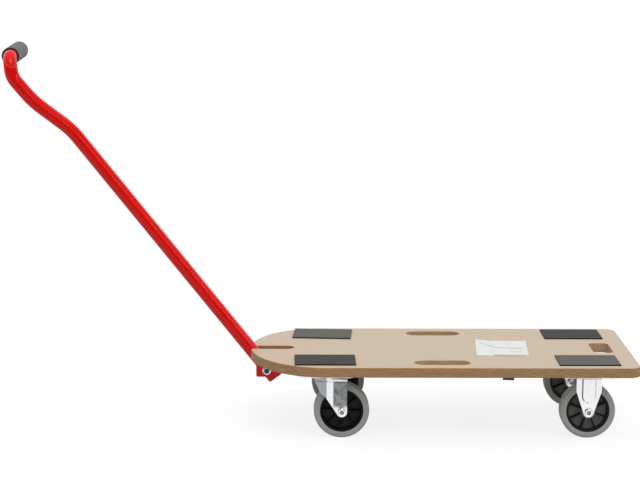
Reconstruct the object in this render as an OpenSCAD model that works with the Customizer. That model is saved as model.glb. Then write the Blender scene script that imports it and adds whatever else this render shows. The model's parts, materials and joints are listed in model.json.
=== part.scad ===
// Folding platform cart: an MDF dolly board with a rounded nose, four 100 mm casters
// and a bent tow handle that hinges in a slot in the nose and stows under the board.
// Millimetres. The front (nose) points along -X, the left side is -Y, the floor is Z = 0.

/* [Deck board] */
// Length of the board from nose tip to rear edge
deck_length = 700; // [640:5:800]
// Width of the board
deck_width = 350; // [340:5:400]
// Thickness of the MDF
deck_thickness = 18; // [16:1:22]
// Length over which the elliptical nose rounds off to full width
nose_length = 137; // [110:1:150]
// Radius of the two rear corners
rear_corner_radius = 22; // [10:1:40]
// Small bevel broken along the board's upper and lower edges
edge_ease = 1.5; // [0.5:0.1:2.5]

/* [Hand holds] */
// Length of each side hand slot
side_slot_length = 101; // [90:1:120]
// Width of each side hand slot
side_slot_width = 37; // [30:1:40]
// Distance of each side slot's centre line from the board's centre line
side_slot_offset = 129.5; // [120:0.5:135]
// Distance of the side slots' middle ahead of the board's middle
side_slot_lead = 4; // [0:1:20]
// Size of the rear hand hole along the board
rear_hole_length = 36; // [30:1:40]
// Size of the rear hand hole across the board
rear_hole_width = 85; // [70:1:100]
// Corner radius of the rear hand hole
rear_hole_radius = 11; // [6:1:14]
// Distance of the rear hand hole's middle from the rear edge
rear_hole_setback = 49.5; // [45:0.5:60]

/* [Nose slot] */
// Width of the slot that the handle tube swings in
nose_slot_width = 28; // [27.5:0.5:30]
// Length of the slot from the nose tip to its round end
nose_slot_length = 80; // [78:1:90]

/* [Grip pads] */
// Length of each anti-slip pad along the board
pad_length = 110; // [100:1:116]
// Width of each anti-slip pad
pad_width = 80; // [76:1:84]
// Thickness of each anti-slip pad
pad_thickness = 3; // [2:0.5:5]
// Distance of each pad's middle from the board's centre line
pad_offset = 116; // [112:1:120]
// Turn of the front right pad, which is stuck on a little askew
pad_skew = -4; // [-6:0.5:0]

/* [Casters] */
// Height from the floor to the underside of the board
caster_height = 120; // [118:1:126]
// Distance between the left and right wheels' middle planes
track = 241; // [236:1:250]
// Distance of the front swivel axes ahead of the board's middle
front_caster_lead = 215; // [200:1:220]
// Distance of the rear axles behind the board's middle
rear_caster_setback = 260; // [240:1:275]
// Distance that the swivel wheels' axles trail behind their swivel axes
trail = 30; // [26:1:34]
// Thickness of the top plates
plate_thickness = 3; // [2.5:0.5:4]
// Length of the top plates along the board
plate_length = 105; // [100:1:115]
// Width of the top plates
plate_width = 85; // [80:1:90]
// Bolt spacing along the board
bolt_spacing_x = 80; // [78:1:84]
// Bolt spacing across the board
bolt_spacing_y = 60; // [58:1:64]
// Thread diameter of the plate bolts
plate_bolt_d = 6; // [5:0.5:6]

/* [Forks] */
// Width of the forks over their outer faces
fork_width = 48; // [47:0.5:54]
// Thickness of the pressed steel
fork_sheet = 2.5; // [2:0.25:3]
// Radius of the round end of each leg
leg_end_radius = 9.5; // [9:0.25:12]
// Radius of the bend between a leg and the roof
roof_bend_radius = 6; // [4:0.5:8]
// Width of the rigid fork's legs below the plate
rigid_leg_width = 46; // [40:1:56]
// Height above the axle at which the rigid legs begin to taper
rigid_taper_rise = 38; // [30:1:44]
// Distance ahead of the axle at which the swivel yoke's legs begin to taper
yoke_taper_lead = 28.7; // [24:0.1:32]
// Height above the axle at which the swivel yoke's legs begin to taper
yoke_taper_rise = 26; // [22:0.5:30]
// Distance ahead of the axle that the yoke's curved front reaches at its lower edge
yoke_brow_lead = 49; // [44:0.5:51]
// Height above the axle of the curved front's lower edge
yoke_brow_rise = 56; // [52:0.5:57]
// Width of the stiffening panels pressed out of the swivel yokes' legs
yoke_panel_width = 22; // [16:1:24]
// Width of the stiffening panels pressed out of the rigid forks' legs
panel_width = 26; // [16:1:28]
// Depth of the stiffening panels
panel_depth = 2; // [1:0.25:3]

/* [Swivel heads] */
// Diameter of the swivel balls
ball_d = 6; // [5:0.5:6]
// Diameter of the circle that the balls run on
ball_circle_d = 36; // [34:1:37]
// Number of balls in each race
ball_count = 14; // [8:1:16]
// Diameter of the kingpin
kingpin_d = 12; // [10:0.5:14]

/* [Wheels] */
// Diameter of the wheels over the tyre
wheel_d = 100; // [96:1:101]
// Width of the tyre
tyre_width = 30; // [26:1:32]
// Thickness of the tyre
tyre_thickness = 11; // [8:0.5:12]
// Radius of the tyre's shoulders
tyre_shoulder = 5; // [3:0.5:7]
// Width of the core's rim
rim_width = 28; // [24:1:30]
// Thickness of the core's rim
rim_thickness = 4; // [3:0.5:6]
// Thickness of the core's web
web_thickness = 5; // [4:0.5:8]
// Outer diameter of the hub
hub_d = 25; // [22:0.5:30]
// Number of radial ribs on the core
rib_count = 8; // [6:1:10]
// Thickness of each rib
rib_thickness = 2.4; // [2:0.2:4]
// Distance that the ribs lie below the rim's face
rib_sink = 2.5; // [1:0.5:5]
// Turn at which the front wheels have come to rest
front_wheel_turn = 3; // [0:1:44]
// Turn at which the rear wheels have come to rest
rear_wheel_turn = 20; // [0:1:44]
// Thread diameter of the axle bolts
axle_d = 8; // [7:0.5:8]
// Outer diameter of the sleeves that the wheels turn on
sleeve_d = 12; // [11:0.5:14]

/* [Handle tube] */
// Outer diameter of the tube
tube_d = 25; // [22:0.5:25.5]
// Wall of the tube
tube_wall = 1.5; // [1.2:0.1:3]
// Lean of the handle above the horizontal as it stands
handle_lean = 51.2; // [40:0.1:70]
// Length of tube that passes below the pivot
tube_tail = 23; // [16:0.5:24]
// Straight length from the pivot to the first bend
tube_reach = 550; // [480:5:570]
// Angle of the first bend, which leads the tube forward
neck_out_angle = 14.5; // [12:0.1:18]
// Radius of the first bend
neck_out_radius = 157; // [100:1:170]
// Straight length between the first and second bends
neck_straight = 46; // [40:0.5:80]
// Angle of the second bend, which leads the tube back
neck_back_angle = 13; // [10:0.1:16]
// Radius of the second bend
neck_back_radius = 177; // [140:1:190]
// Straight length between the second and third bends
crook_straight = 26; // [5:1:30]
// Angle of the third bend, just below the grip
crook_angle = 31; // [15:1:36]
// Radius of the third bend
crook_radius = 38; // [34:1:80]
// Radius of the right-angle bend into the grip
grip_bend_radius = 26; // [24:1:28]

/* [Grip] */
// Outer diameter of the foam grip
grip_d = 33; // [32:0.5:40]
// Length of the foam grip
grip_length = 147; // [120:1:148]
// Radius of the foam grip's end edges
grip_edge_radius = 3; // [2:0.5:4]

/* [Hinge] */
// Distance of the pivot behind the nose tip
pivot_setback = 29.5; // [27:0.1:31]
// Distance of the pivot below the board
pivot_drop = 22; // [22:0.5:25]
// Thickness of the bracket's steel
bracket_sheet = 3; // [2.5:0.5:4]
// Length of the bracket's cheeks
cheek_length = 53; // [48:0.5:56]
// Distance that the cheeks reach below the pivot
cheek_below = 12.5; // [9:0.5:13]
// Distance of the cheeks' front edges behind the nose tip
cheek_setback = 10; // [6:0.5:11]
// Length of the slope cut off the cheeks' lower rear corners
cheek_cut_length = 13; // [8:0.5:16]
// Rise of the slope cut off the cheeks' lower rear corners
cheek_cut_rise = 11; // [8:0.5:14]
// Length of the bracket's flange plate behind the end of the nose slot
flange_bridge = 12; // [8:1:20]
// Width of the bracket's flange plate
flange_width = 74; // [70:1:80]
// Thread diameter of the pivot bolt
pivot_d = 8; // [7:0.5:8]
// Outer diameter of the sleeve welded through the tube
pivot_sleeve_d = 14; // [12:0.5:16]
// Thickness of the two friction washers
friction_washer = 1.3; // [1:0.1:1.4]

/* [Stowing clip] */
// Distance of the clip behind the pivot
clip_reach = 449; // [400:1:480]
// Length of the clip along the board
clip_length = 21; // [16:1:30]
// Wall of the clip's jaws
clip_wall = 3; // [2.5:0.5:4]
// Room between the stowed tube and the clip
clip_clearance = 0.4; // [0.3:0.1:0.6]
// Distance that the jaws reach past the stowed tube's middle
clip_grip = 4; // [2:0.5:6]
// Room between the stowed tube's neck and the board
stow_clearance = 7.5; // [1:0.5:9]

/* [Hidden] */
$fn = 64;

// Clearances
running_fit = 0.05;   // radial room between a turning bore and its pin
clamp_fit = 0.2;      // radial room between a bolt and the hole it passes
foam_fit = 0.2;       // radial room between the foam grip and the tube it is pushed over
face_gap = 0.4;       // room between faces that move past each other
cut = 1;              // how far a cutting shape stands past the face it cuts

// Finishes
mdf_colour = [0.80, 0.73, 0.65];
pad_colour = [0.34, 0.34, 0.33];
red_colour = [0.80, 0.06, 0.05];
zinc_colour = [0.80, 0.81, 0.82];
steel_colour = [0.62, 0.63, 0.64];
core_colour = [0.16, 0.16, 0.16];
tyre_colour = [0.58, 0.58, 0.57];
foam_colour = [0.38, 0.38, 0.38];
black_colour = [0.08, 0.08, 0.08];
nylon_colour = [0.85, 0.84, 0.80];

// Heights
wheel_r = wheel_d / 2;
axle_z = wheel_r;
deck_top = caster_height + deck_thickness;
plate_z = caster_height - plate_thickness;
pivot_z = caster_height - pivot_drop;

// Handle path in its own plane: u runs along the straight tube from the pivot, n to its front side
tube_r = tube_d / 2;
neck_slope = neck_out_angle - neck_back_angle;
crook_slope = neck_slope - crook_angle;
neck_u = tube_reach + neck_out_radius * sin(neck_out_angle) + neck_straight * cos(neck_out_angle)
    + neck_back_radius * (sin(neck_out_angle) - sin(neck_slope));
neck_n = neck_out_radius * (1 - cos(neck_out_angle)) + neck_straight * sin(neck_out_angle)
    + neck_back_radius * (cos(neck_slope) - cos(neck_out_angle));
crook_u = neck_u + crook_straight * cos(neck_slope) + crook_radius * (sin(neck_slope) - sin(crook_slope));
crook_n = neck_n + crook_straight * sin(neck_slope) + crook_radius * (cos(crook_slope) - cos(neck_slope));
grip_u = crook_u + grip_bend_radius * cos(crook_slope);
grip_n = crook_n + grip_bend_radius * sin(crook_slope);
rest_angle = 180 - handle_lean;

// Stowed, the neck's highest stretch clears the board by stow_clearance
neck_peak_n = neck_n + crook_straight * sin(neck_slope);
neck_peak_u = neck_u + crook_straight * cos(neck_slope);
stow_angle = asin((neck_peak_n + tube_r + stow_clearance - pivot_drop) / neck_peak_u);
clip_x = clip_reach * cos(stow_angle);
clip_depth = pivot_drop + clip_reach * sin(stow_angle);

// The end plug's flat head and the stem inside the tube
plug_head = 2.5;
plug_length = 12;
// Places along the board, from its middle
nose_x = -deck_length / 2;
rear_x = deck_length / 2;
pivot_x = nose_x + pivot_setback;
front_swivel_x = -front_caster_lead;
rear_axle_x = rear_caster_setback;
wheel_y = track / 2;

// The frame's origin is on the floor under the middle of the whole cart's box
foremost_x = pivot_x + grip_u * cos(rest_angle) - grip_n * sin(rest_angle) - grip_d / 2;
deck_x = -(foremost_x + rear_x) / 2;

// Hinge
cheek_inner = nose_slot_width / 2;
cheek_outer = cheek_inner + bracket_sheet;
flange_front = nose_x + cheek_setback;
flange_rear = nose_x + nose_slot_length + flange_bridge;
sleeve_half = cheek_inner - friction_washer - running_fit;
washer_d = 2 * pivot_d;
washer_thickness = 1.6;
nut_across = 1.625;   // width across flats of a nut or bolt head, in thread diameters
head_height = 0.66;   // height of a bolt head, in thread diameters
nut_height = 0.95;    // height of a locking nut, in thread diameters

// Plate bolts
bolt_head_d = 2 * plate_bolt_d + 2;
bolt_head_height = 2.4;
plate_slot_length = 2 * plate_bolt_d;
insert_d = plate_bolt_d + 3;
insert_length = 12;

// Forks and swivel heads
leg_outer = fork_width / 2;
leg_inner = leg_outer - fork_sheet;
race_r = ball_circle_d / 2;
race_half = ball_d / 2 + 2;
ball_r = ball_d / 2;
race_gap = 1;
roof_drop = 6.5;
roof_z = plate_z - roof_drop;
ball_z = plate_z - ball_r - 1.3;
kingpin_head_d = 22;
kingpin_head_height = 2;
kingpin_nut_across = 18;
kingpin_nut_height = 5;
kingpin_end_z = roof_z - fork_sheet - face_gap - washer_thickness - kingpin_nut_height - 0.2;
rigid_panel_rise = 16.6;
yoke_rear = trail + leg_end_radius;
yoke_panel_rise = 8;
yoke_panel_inset = 1;
panel_slope = 2.5;
blend = 0.1;          // how far a leg's straight edges run inside its round end

// Wheels
core_r = wheel_r - tyre_thickness;
hub_half = leg_inner - face_gap;
rib_half = rim_width / 2 - rib_sink;

// Screws
screw_d = 5;
screw_head_d = 9;
screw_head_height = 2.2;
screw_length = 14;
screw_margin = 10;
clip_base_width = 50;
clip_base_thickness = 3;
clip_screw_y = 19;

/* ---------- placing ---------- */

module on_deck() {
    translate([deck_x, 0, 0]) children();
}

module at_pivot() {
    on_deck() translate([pivot_x, 0, pivot_z]) children();
}

module on_handle() {
    at_pivot() rotate([0, -rest_angle, 0]) children();
}

// side is -1 for left and 1 for right
module at_front_caster(side) {
    on_deck() translate([front_swivel_x, side * wheel_y, 0]) children();
}

module at_rear_caster(side) {
    on_deck() translate([rear_axle_x, side * wheel_y, 0]) children();
}

module at_front_axle(side) {
    at_front_caster(side) translate([trail, 0, axle_z]) children();
}

module at_rear_axle(side) {
    at_rear_caster(side) translate([0, 0, axle_z]) children();
}

// Turns a shape made along +Z to lie along +Y
module along_y() {
    rotate([-90, 0, 0]) children();
}

/* ---------- general shapes ---------- */

module ring(outer_r, inner_r, height) {
    difference() {
        cylinder(r = outer_r, h = height);
        translate([0, 0, -cut]) cylinder(r = inner_r, h = height + 2 * cut);
    }
}

module hexagon(across, height) {
    cylinder(d = across / cos(30), h = height, $fn = 6);
}

// A hole longer than it is wide, along X
module slot_2d(length, width) {
    square([length - width, width], center = true);
    for (end = [-1, 1])
        translate([end * (length - width) / 2, 0]) circle(d = width);
}

module rounded_rectangle_2d(length, width, radius) {
    square([length - 2 * radius, width], center = true);
    square([length, width - 2 * radius], center = true);
    for (x = [-1, 1], y = [-1, 1])
        translate([x * (length / 2 - radius), y * (width / 2 - radius)]) circle(r = radius);
}

module bolt_places() {
    for (x = [-1, 1], y = [-1, 1])
        translate([x * bolt_spacing_x / 2, y * bolt_spacing_y / 2, 0]) children();
}

module caster_places() {
    for (side = [-1, 1]) {
        at_front_caster(side) children();
        at_rear_caster(side) children();
    }
}

/* ---------- deck ---------- */

// The board's outline: an elliptical nose and two rounded rear corners, drawn in by inset
function deck_outline(inset) =
    let (nose_centre = nose_x + nose_length,
        corner_x = rear_x - rear_corner_radius,
        corner_y = deck_width / 2 - rear_corner_radius,
        corner_r = rear_corner_radius - inset)
    concat(
        [for (a = [90 : 3 : 270])
            [nose_centre + (nose_length - inset) * cos(a), (deck_width / 2 - inset) * sin(a)]],
        [for (a = [-90 : 9 : 0]) [corner_x + corner_r * cos(a), -corner_y + corner_r * sin(a)]],
        [for (a = [0 : 9 : 90]) [corner_x + corner_r * cos(a), corner_y + corner_r * sin(a)]]);

module board() {
    hull() {
        translate([0, 0, caster_height]) linear_extrude(deck_thickness) polygon(deck_outline(edge_ease));
        translate([0, 0, caster_height + edge_ease])
            linear_extrude(deck_thickness - 2 * edge_ease) polygon(deck_outline(0));
    }
}

// The slot is open at the nose tip and ends in a half round
module nose_slot() {
    end_x = nose_x + nose_slot_length - nose_slot_width / 2;
    translate([nose_x - cut, -nose_slot_width / 2]) square([end_x - nose_x + cut, nose_slot_width]);
    translate([end_x, 0]) circle(d = nose_slot_width);
}

module hand_holds() {
    for (side = [-1, 1])
        translate([-side_slot_lead, side * side_slot_offset]) slot_2d(side_slot_length, side_slot_width);
    translate([rear_x - rear_hole_setback, 0])
        rounded_rectangle_2d(rear_hole_length, rear_hole_width, rear_hole_radius);
}

module bracket_screw_places() {
    for (x = [flange_front + screw_margin, flange_rear - screw_margin], side = [-1, 1])
        translate([x, side * (flange_width / 2 - screw_margin), 0]) children();
}

module clip_screw_places() {
    for (side = [-1, 1])
        translate([pivot_x + clip_x, side * clip_screw_y, 0]) children();
}

module deck() {
    color(mdf_colour) difference() {
        on_deck() difference() {
            board();
            translate([0, 0, caster_height - cut]) linear_extrude(deck_thickness + 2 * cut) {
                nose_slot();
                hand_holds();
            }
            translate([0, 0, caster_height - cut]) {
                bracket_screw_places() cylinder(d = screw_d, h = cut + screw_length - bracket_sheet);
                clip_screw_places() cylinder(d = screw_d, h = cut + screw_length - clip_base_thickness);
            }
        }
        caster_places() bolt_places() translate([0, 0, caster_height - cut])
            cylinder(d = insert_d, h = cut + insert_length);
    }
}

/* ---------- pads ---------- */

module pad(x, side, turn) {
    color(pad_colour) on_deck() translate([x, side * pad_offset, deck_top]) rotate([0, 0, turn])
        linear_extrude(pad_thickness) rounded_rectangle_2d(pad_length, pad_width, pad_thickness / 2);
}

module front_left_pad() { pad(front_swivel_x, -1, 0); }
module front_right_pad() { pad(front_swivel_x, 1, pad_skew); }
module rear_left_pad() { pad(rear_axle_x, -1, 0); }
module rear_right_pad() { pad(rear_axle_x, 1, 0); }

/* ---------- handle hinge ---------- */

// Side view of a cheek, from the pivot: its lower rear corner is cut off at a slope
module cheek_2d() {
    front = cheek_setback - pivot_setback;
    rear = front + cheek_length;
    corner = 3;
    difference() {
        polygon([[front, pivot_drop], [front, corner - cheek_below], [front + corner, -cheek_below],
            [rear - cheek_cut_length, -cheek_below], [rear, cheek_cut_rise - cheek_below],
            [rear, pivot_drop]]);
        circle(d = pivot_d + 2 * clamp_fit);
    }
    translate([front + corner, corner - cheek_below]) circle(r = corner);
}

// A flange plate slotted like the board, with two cheeks folded down beside the slot
module handle_bracket() {
    color(red_colour) {
        on_deck() difference() {
            translate([flange_front, -flange_width / 2, caster_height - bracket_sheet])
                cube([flange_rear - flange_front, flange_width, bracket_sheet]);
            translate([0, 0, caster_height - bracket_sheet - cut]) {
                linear_extrude(bracket_sheet + 2 * cut) nose_slot();
                bracket_screw_places() cylinder(d = screw_d + 2 * clamp_fit, h = bracket_sheet + 2 * cut);
            }
        }
        at_pivot() for (side = [-1, 1])
            translate([0, side * (cheek_inner + bracket_sheet / 2) + bracket_sheet / 2, 0])
                rotate([90, 0, 0]) linear_extrude(bracket_sheet) cheek_2d();
    }
}

// A pan-head screw pointing up, its head's seat at Z = 0
module wood_screw() {
    cylinder(d = screw_d, h = screw_length);
    translate([0, 0, -screw_head_height])
        cylinder(d1 = screw_head_d - 2, d2 = screw_head_d, h = screw_head_height);
}

module bracket_screws() {
    color(zinc_colour) on_deck() translate([0, 0, caster_height - bracket_sheet])
        bracket_screw_places() wood_screw();
}

module pivot_bolt() {
    head = head_height * pivot_d;
    seat = cheek_outer + washer_thickness;
    color(zinc_colour) at_pivot() {
        translate([0, -seat - nut_height * pivot_d - 2, 0])
            along_y() cylinder(d = pivot_d, h = 2 * seat + nut_height * pivot_d + 2);
        translate([0, seat, 0]) along_y() hexagon(nut_across * pivot_d, head);
    }
}

module pivot_nut() {
    seat = cheek_outer + washer_thickness;
    color(zinc_colour) at_pivot() translate([0, -seat - nut_height * pivot_d, 0]) along_y()
        lock_nut(pivot_d, nut_height * pivot_d);
}

// A locking nut along +Z: a hexagon with a round nylon collar at its start
module lock_nut(thread, height) {
    collar = 0.3 * height;
    difference() {
        union() {
            translate([0, 0, collar]) hexagon(nut_across * thread, height - collar);
            cylinder(d = nut_across * thread - 1, h = collar);
        }
        translate([0, 0, -cut]) cylinder(d = thread, h = height + 2 * cut);
    }
}

module pivot_washers() {
    color(zinc_colour) at_pivot() for (y = [-cheek_outer - washer_thickness, cheek_outer])
        translate([0, y, 0]) along_y() ring(washer_d / 2, pivot_d / 2 + clamp_fit, washer_thickness);
}

module friction_washers() {
    color(nylon_colour) at_pivot() for (y = [-cheek_inner, cheek_inner - friction_washer])
        translate([0, y, 0]) along_y()
            ring(pivot_sleeve_d / 2 + 2, pivot_d / 2 + clamp_fit, friction_washer);
}

/* ---------- handle ---------- */

module straight(length, radius) {
    rotate([0, 90, 0]) cylinder(r = radius, h = length);
}

// An arc that sets off along +X and turns towards +Z
module bend_up(bend_radius, angle, radius) {
    translate([0, 0, bend_radius]) rotate([90, 0, 0]) rotate([0, 0, -90])
        rotate_extrude(angle = angle, $fn = 180) translate([bend_radius, 0]) circle(r = radius, $fn = 64);
}

module after_bend_up(bend_radius, angle) {
    translate([bend_radius * sin(angle), 0, bend_radius * (1 - cos(angle))])
        rotate([0, -angle, 0]) children();
}

module bend_down(bend_radius, angle, radius) {
    mirror([0, 0, 1]) bend_up(bend_radius, angle, radius);
}

module after_bend_down(bend_radius, angle) {
    translate([bend_radius * sin(angle), 0, -bend_radius * (1 - cos(angle))])
        rotate([0, angle, 0]) children();
}

// A bead too slight to see that joins two lengths of the tube into one solid
module joint_bead(radius) {
    rise = 0.05;
    rotate([0, 90, 0]) rotate_extrude()
        polygon([[0, -0.5], [radius - rise, -0.5], [radius + rise, 0], [radius - rise, 0.5], [0, 0.5]]);
}

// The tube from its lower end to its end inside the grip; over lengthens both open ends
module tube_run(radius, over) {
    translate([-tube_tail - over, 0, 0]) straight(tube_tail + over + tube_reach, radius);
    translate([tube_reach, 0, 0]) {
        joint_bead(radius);
        bend_up(neck_out_radius, neck_out_angle, radius);
        after_bend_up(neck_out_radius, neck_out_angle) {
            joint_bead(radius);
            straight(neck_straight, radius);
            translate([neck_straight, 0, 0]) {
                joint_bead(radius);
                bend_down(neck_back_radius, neck_back_angle, radius);
                after_bend_down(neck_back_radius, neck_back_angle) {
                    joint_bead(radius);
                    straight(crook_straight, radius);
                    translate([crook_straight, 0, 0]) {
                        joint_bead(radius);
                        bend_down(crook_radius, crook_angle, radius);
                    }
                }
            }
        }
    }
    at_crook_end() {
        joint_bead(radius);
        rotate([-90, 0, 0]) bend_up(grip_bend_radius, 90, radius);
        translate([grip_bend_radius, grip_bend_radius, 0]) rotate([0, 0, 90]) {
            joint_bead(radius);
            straight(grip_length - plug_head + over, radius);
        }
    }
}

module at_crook_end() {
    translate([crook_u, 0, crook_n]) rotate([0, -crook_slope, 0]) children();
}

module at_grip() {
    at_crook_end() translate([grip_bend_radius, grip_bend_radius, 0]) along_y() children();
}

module handle_tube() {
    color(red_colour) on_handle() difference() {
        tube_run(tube_r, 0);
        tube_run(tube_r - tube_wall, cut);
        translate([0, -tube_r - cut, 0]) along_y() cylinder(d = pivot_sleeve_d, h = tube_d + 2 * cut);
    }
}

module pivot_sleeve() {
    color(steel_colour) on_handle() translate([0, -sleeve_half, 0]) along_y()
        ring(pivot_sleeve_d / 2, pivot_d / 2 + running_fit, 2 * sleeve_half);
}

module foam_grip() {
    inner = tube_r + foam_fit;
    edge = grip_edge_radius;
    color(foam_colour) on_handle() at_grip() rotate_extrude() difference() {
        union() {
            square([grip_d / 2 - edge, grip_length]);
            translate([0, edge]) square([grip_d / 2, grip_length - 2 * edge]);
            for (z = [edge, grip_length - edge])
                translate([grip_d / 2 - edge, z]) circle(r = edge);
        }
        translate([-cut, -cut]) square([inner + cut, grip_length + 2 * cut]);
    }
}

module grip_end_plug() {
    color(black_colour) on_handle() at_grip() {
        translate([0, 0, grip_length - plug_head]) cylinder(r = tube_r, h = plug_head);
        translate([0, 0, grip_length - plug_head - plug_length])
            cylinder(r = tube_r - tube_wall - running_fit, h = plug_length);
    }
}

/* ---------- stowing clip ---------- */

// The jaws seen along the stowed tube, whose middle is at the origin; up is towards the board
module clip_jaws_2d() {
    inner = tube_r + clip_clearance;
    difference() {
        circle(r = inner + clip_wall);
        circle(r = inner);
        translate([-2 * tube_d, -clip_grip - 4 * tube_d]) square(4 * tube_d);
    }
    lip = sqrt(pow(inner + clip_wall / 2, 2) - pow(clip_grip, 2));
    for (side = [-1, 1])
        translate([side * lip, -clip_grip]) circle(d = clip_wall);
}

module handle_clip() {
    inner = tube_r + clip_clearance;
    stem_height = clip_depth - inner;
    color(black_colour) on_deck() translate([pivot_x + clip_x, 0, caster_height]) difference() {
        union() {
            translate([-clip_length / 2, -clip_base_width / 2, -clip_base_thickness])
                cube([clip_length, clip_base_width, clip_base_thickness]);
            translate([-clip_length / 2, -8, -stem_height - clip_wall / 2])
                cube([clip_length, 16, stem_height + clip_wall / 2]);
            translate([0, 0, -clip_depth]) rotate([0, stow_angle, 0]) translate([-clip_length / 2, 0, 0])
                rotate([90, 0, 90]) linear_extrude(clip_length) clip_jaws_2d();
        }
        translate([0, 0, -clip_depth]) rotate([0, stow_angle, 0]) translate([-clip_length, 0, 0])
            straight(2 * clip_length, inner);
        translate([-pivot_x - clip_x, 0, -clip_base_thickness - cut])
            clip_screw_places() cylinder(d = screw_d + 2 * clamp_fit, h = clip_base_thickness + 2 * cut);
    }
}

module clip_screws() {
    color(zinc_colour) on_deck() translate([0, 0, caster_height - clip_base_thickness])
        clip_screw_places() wood_screw();
}

/* ---------- caster fasteners ---------- */

// Low-headed bolts that pass up through the top plates
module caster_bolts() {
    color(zinc_colour) caster_places() bolt_places() {
        translate([0, 0, plate_z - bolt_head_height])
            cylinder(d1 = bolt_head_d - 4, d2 = bolt_head_d, h = bolt_head_height);
        translate([0, 0, plate_z]) cylinder(d = plate_bolt_d, h = plate_thickness + insert_length - 1);
    }
}

// Threaded inserts let into the board's underside, which the bolts screw into
module caster_inserts() {
    color(steel_colour) caster_places() bolt_places() translate([0, 0, caster_height])
        ring(insert_d / 2, plate_bolt_d / 2, insert_length);
}

/* ---------- caster top plates ---------- */

module flat_plate() {
    translate([0, 0, plate_z]) linear_extrude(plate_thickness) difference() {
        rounded_rectangle_2d(plate_length, plate_width, 8);
        for (x = [-1, 1], y = [-1, 1])
            translate([x * bolt_spacing_x / 2, y * bolt_spacing_y / 2])
                slot_2d(plate_slot_length, plate_bolt_d + 2);
    }
}

module ball_groove() {
    translate([0, 0, ball_z]) rotate_extrude() translate([race_r, 0]) circle(r = ball_r + running_fit);
}

// The plate carries the upper race as a pressed ring
module swivel_top_plate() {
    difference() {
        union() {
            flat_plate();
            translate([0, 0, ball_z + race_gap / 2])
                ring(race_r + race_half, race_r - race_half, plate_z - ball_z - race_gap / 2);
        }
        ball_groove();
        translate([0, 0, plate_z - cut])
            cylinder(r = kingpin_d / 2 + clamp_fit, h = plate_thickness + 2 * cut);
        translate([0, 0, caster_height - kingpin_head_height])
            cylinder(r = kingpin_head_d / 2 + clamp_fit, h = kingpin_head_height + cut);
    }
}

module front_left_top_plate() { color(zinc_colour) at_front_caster(-1) swivel_top_plate(); }
module front_right_top_plate() { color(zinc_colour) at_front_caster(1) swivel_top_plate(); }
module rear_left_top_plate() { color(zinc_colour) at_rear_caster(-1) flat_plate(); }
module rear_right_top_plate() { color(zinc_colour) at_rear_caster(1) flat_plate(); }

/* ---------- swivel heads ---------- */

module kingpin() {
    translate([0, 0, kingpin_end_z])
        cylinder(d = kingpin_d, h = caster_height - kingpin_end_z);
    translate([0, 0, caster_height - kingpin_head_height])
        cylinder(d = kingpin_head_d, h = kingpin_head_height);
}

module kingpin_nut() {
    washer_z = roof_z - fork_sheet - face_gap - washer_thickness;
    translate([0, 0, washer_z]) ring(kingpin_d, kingpin_d / 2, washer_thickness);
    translate([0, 0, washer_z - kingpin_nut_height]) difference() {
        hexagon(kingpin_nut_across, kingpin_nut_height);
        translate([0, 0, -cut]) cylinder(d = kingpin_d, h = kingpin_nut_height + 2 * cut);
    }
}

module swivel_balls() {
    for (i = [0 : ball_count - 1])
        rotate([0, 0, i * 360 / ball_count]) translate([race_r, 0, ball_z]) sphere(r = ball_r);
}

module front_left_kingpin() { color(steel_colour) at_front_caster(-1) kingpin(); }
module front_right_kingpin() { color(steel_colour) at_front_caster(1) kingpin(); }
module front_left_kingpin_nut() { color(zinc_colour) at_front_caster(-1) kingpin_nut(); }
module front_right_kingpin_nut() { color(zinc_colour) at_front_caster(1) kingpin_nut(); }
module front_left_swivel_balls() { color(steel_colour) at_front_caster(-1) swivel_balls(); }
module front_right_swivel_balls() { color(steel_colour) at_front_caster(1) swivel_balls(); }

/* ---------- pressed forks ---------- */

// Half of the end view: a leg that runs into the roof round a bend
module leg_and_roof_2d(half, top, bend) {
    square([half, top - bend]);
    square([half - bend, top]);
    translate([half - bend, top - bend]) circle(r = bend);
}

// The legs and roof as one solid, between two places along the board
module arch(from_x, to_x, half, top, bend) {
    translate([from_x, 0, 0]) rotate([90, 0, 90]) linear_extrude(to_x - from_x) {
        leg_and_roof_2d(half, top, bend);
        mirror([1, 0, 0]) leg_and_roof_2d(half, top, bend);
    }
}

// Stands a side view, drawn from the axle, up across the whole fork
module across_fork() {
    translate([0, fork_width, 0]) rotate([90, 0, 0]) linear_extrude(2 * fork_width) children();
}

// A stiffening panel pressed out of a leg along Z, which ends in a half round
module leg_panel(width, rise, top) {
    bottom = rise + width / 2;
    crest = width / 2 - panel_slope;
    translate([0, bottom, 0]) {
        cylinder(r1 = width / 2, r2 = crest, h = panel_depth);
        rotate([-90, 0, 0]) linear_extrude(top - bottom)
            polygon([[-width / 2, 0], [width / 2, 0], [crest, -panel_depth], [-crest, -panel_depth]]);
    }
}

module leg_panels(width, rise, top) {
    for (side = [-1, 1])
        translate([0, side * leg_outer, 0]) rotate([90, 0, side > 0 ? 180 : 0]) leg_panel(width, rise, top);
}

module axle_hole() {
    translate([0, -fork_width, 0]) along_y() cylinder(r = axle_d / 2 + clamp_fit, h = 2 * fork_width);
}

/* ---------- swivel yoke ---------- */

// The yoke's skin before its edges are cut: round in front, about the swivel axis, and straight behind
module yoke_form(half, top, bend, over) {
    rotate([0, 0, 90]) rotate_extrude(angle = 180, $fn = 96) leg_and_roof_2d(half, top, bend);
    arch(0, yoke_rear + over, half, top, bend);
}

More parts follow.
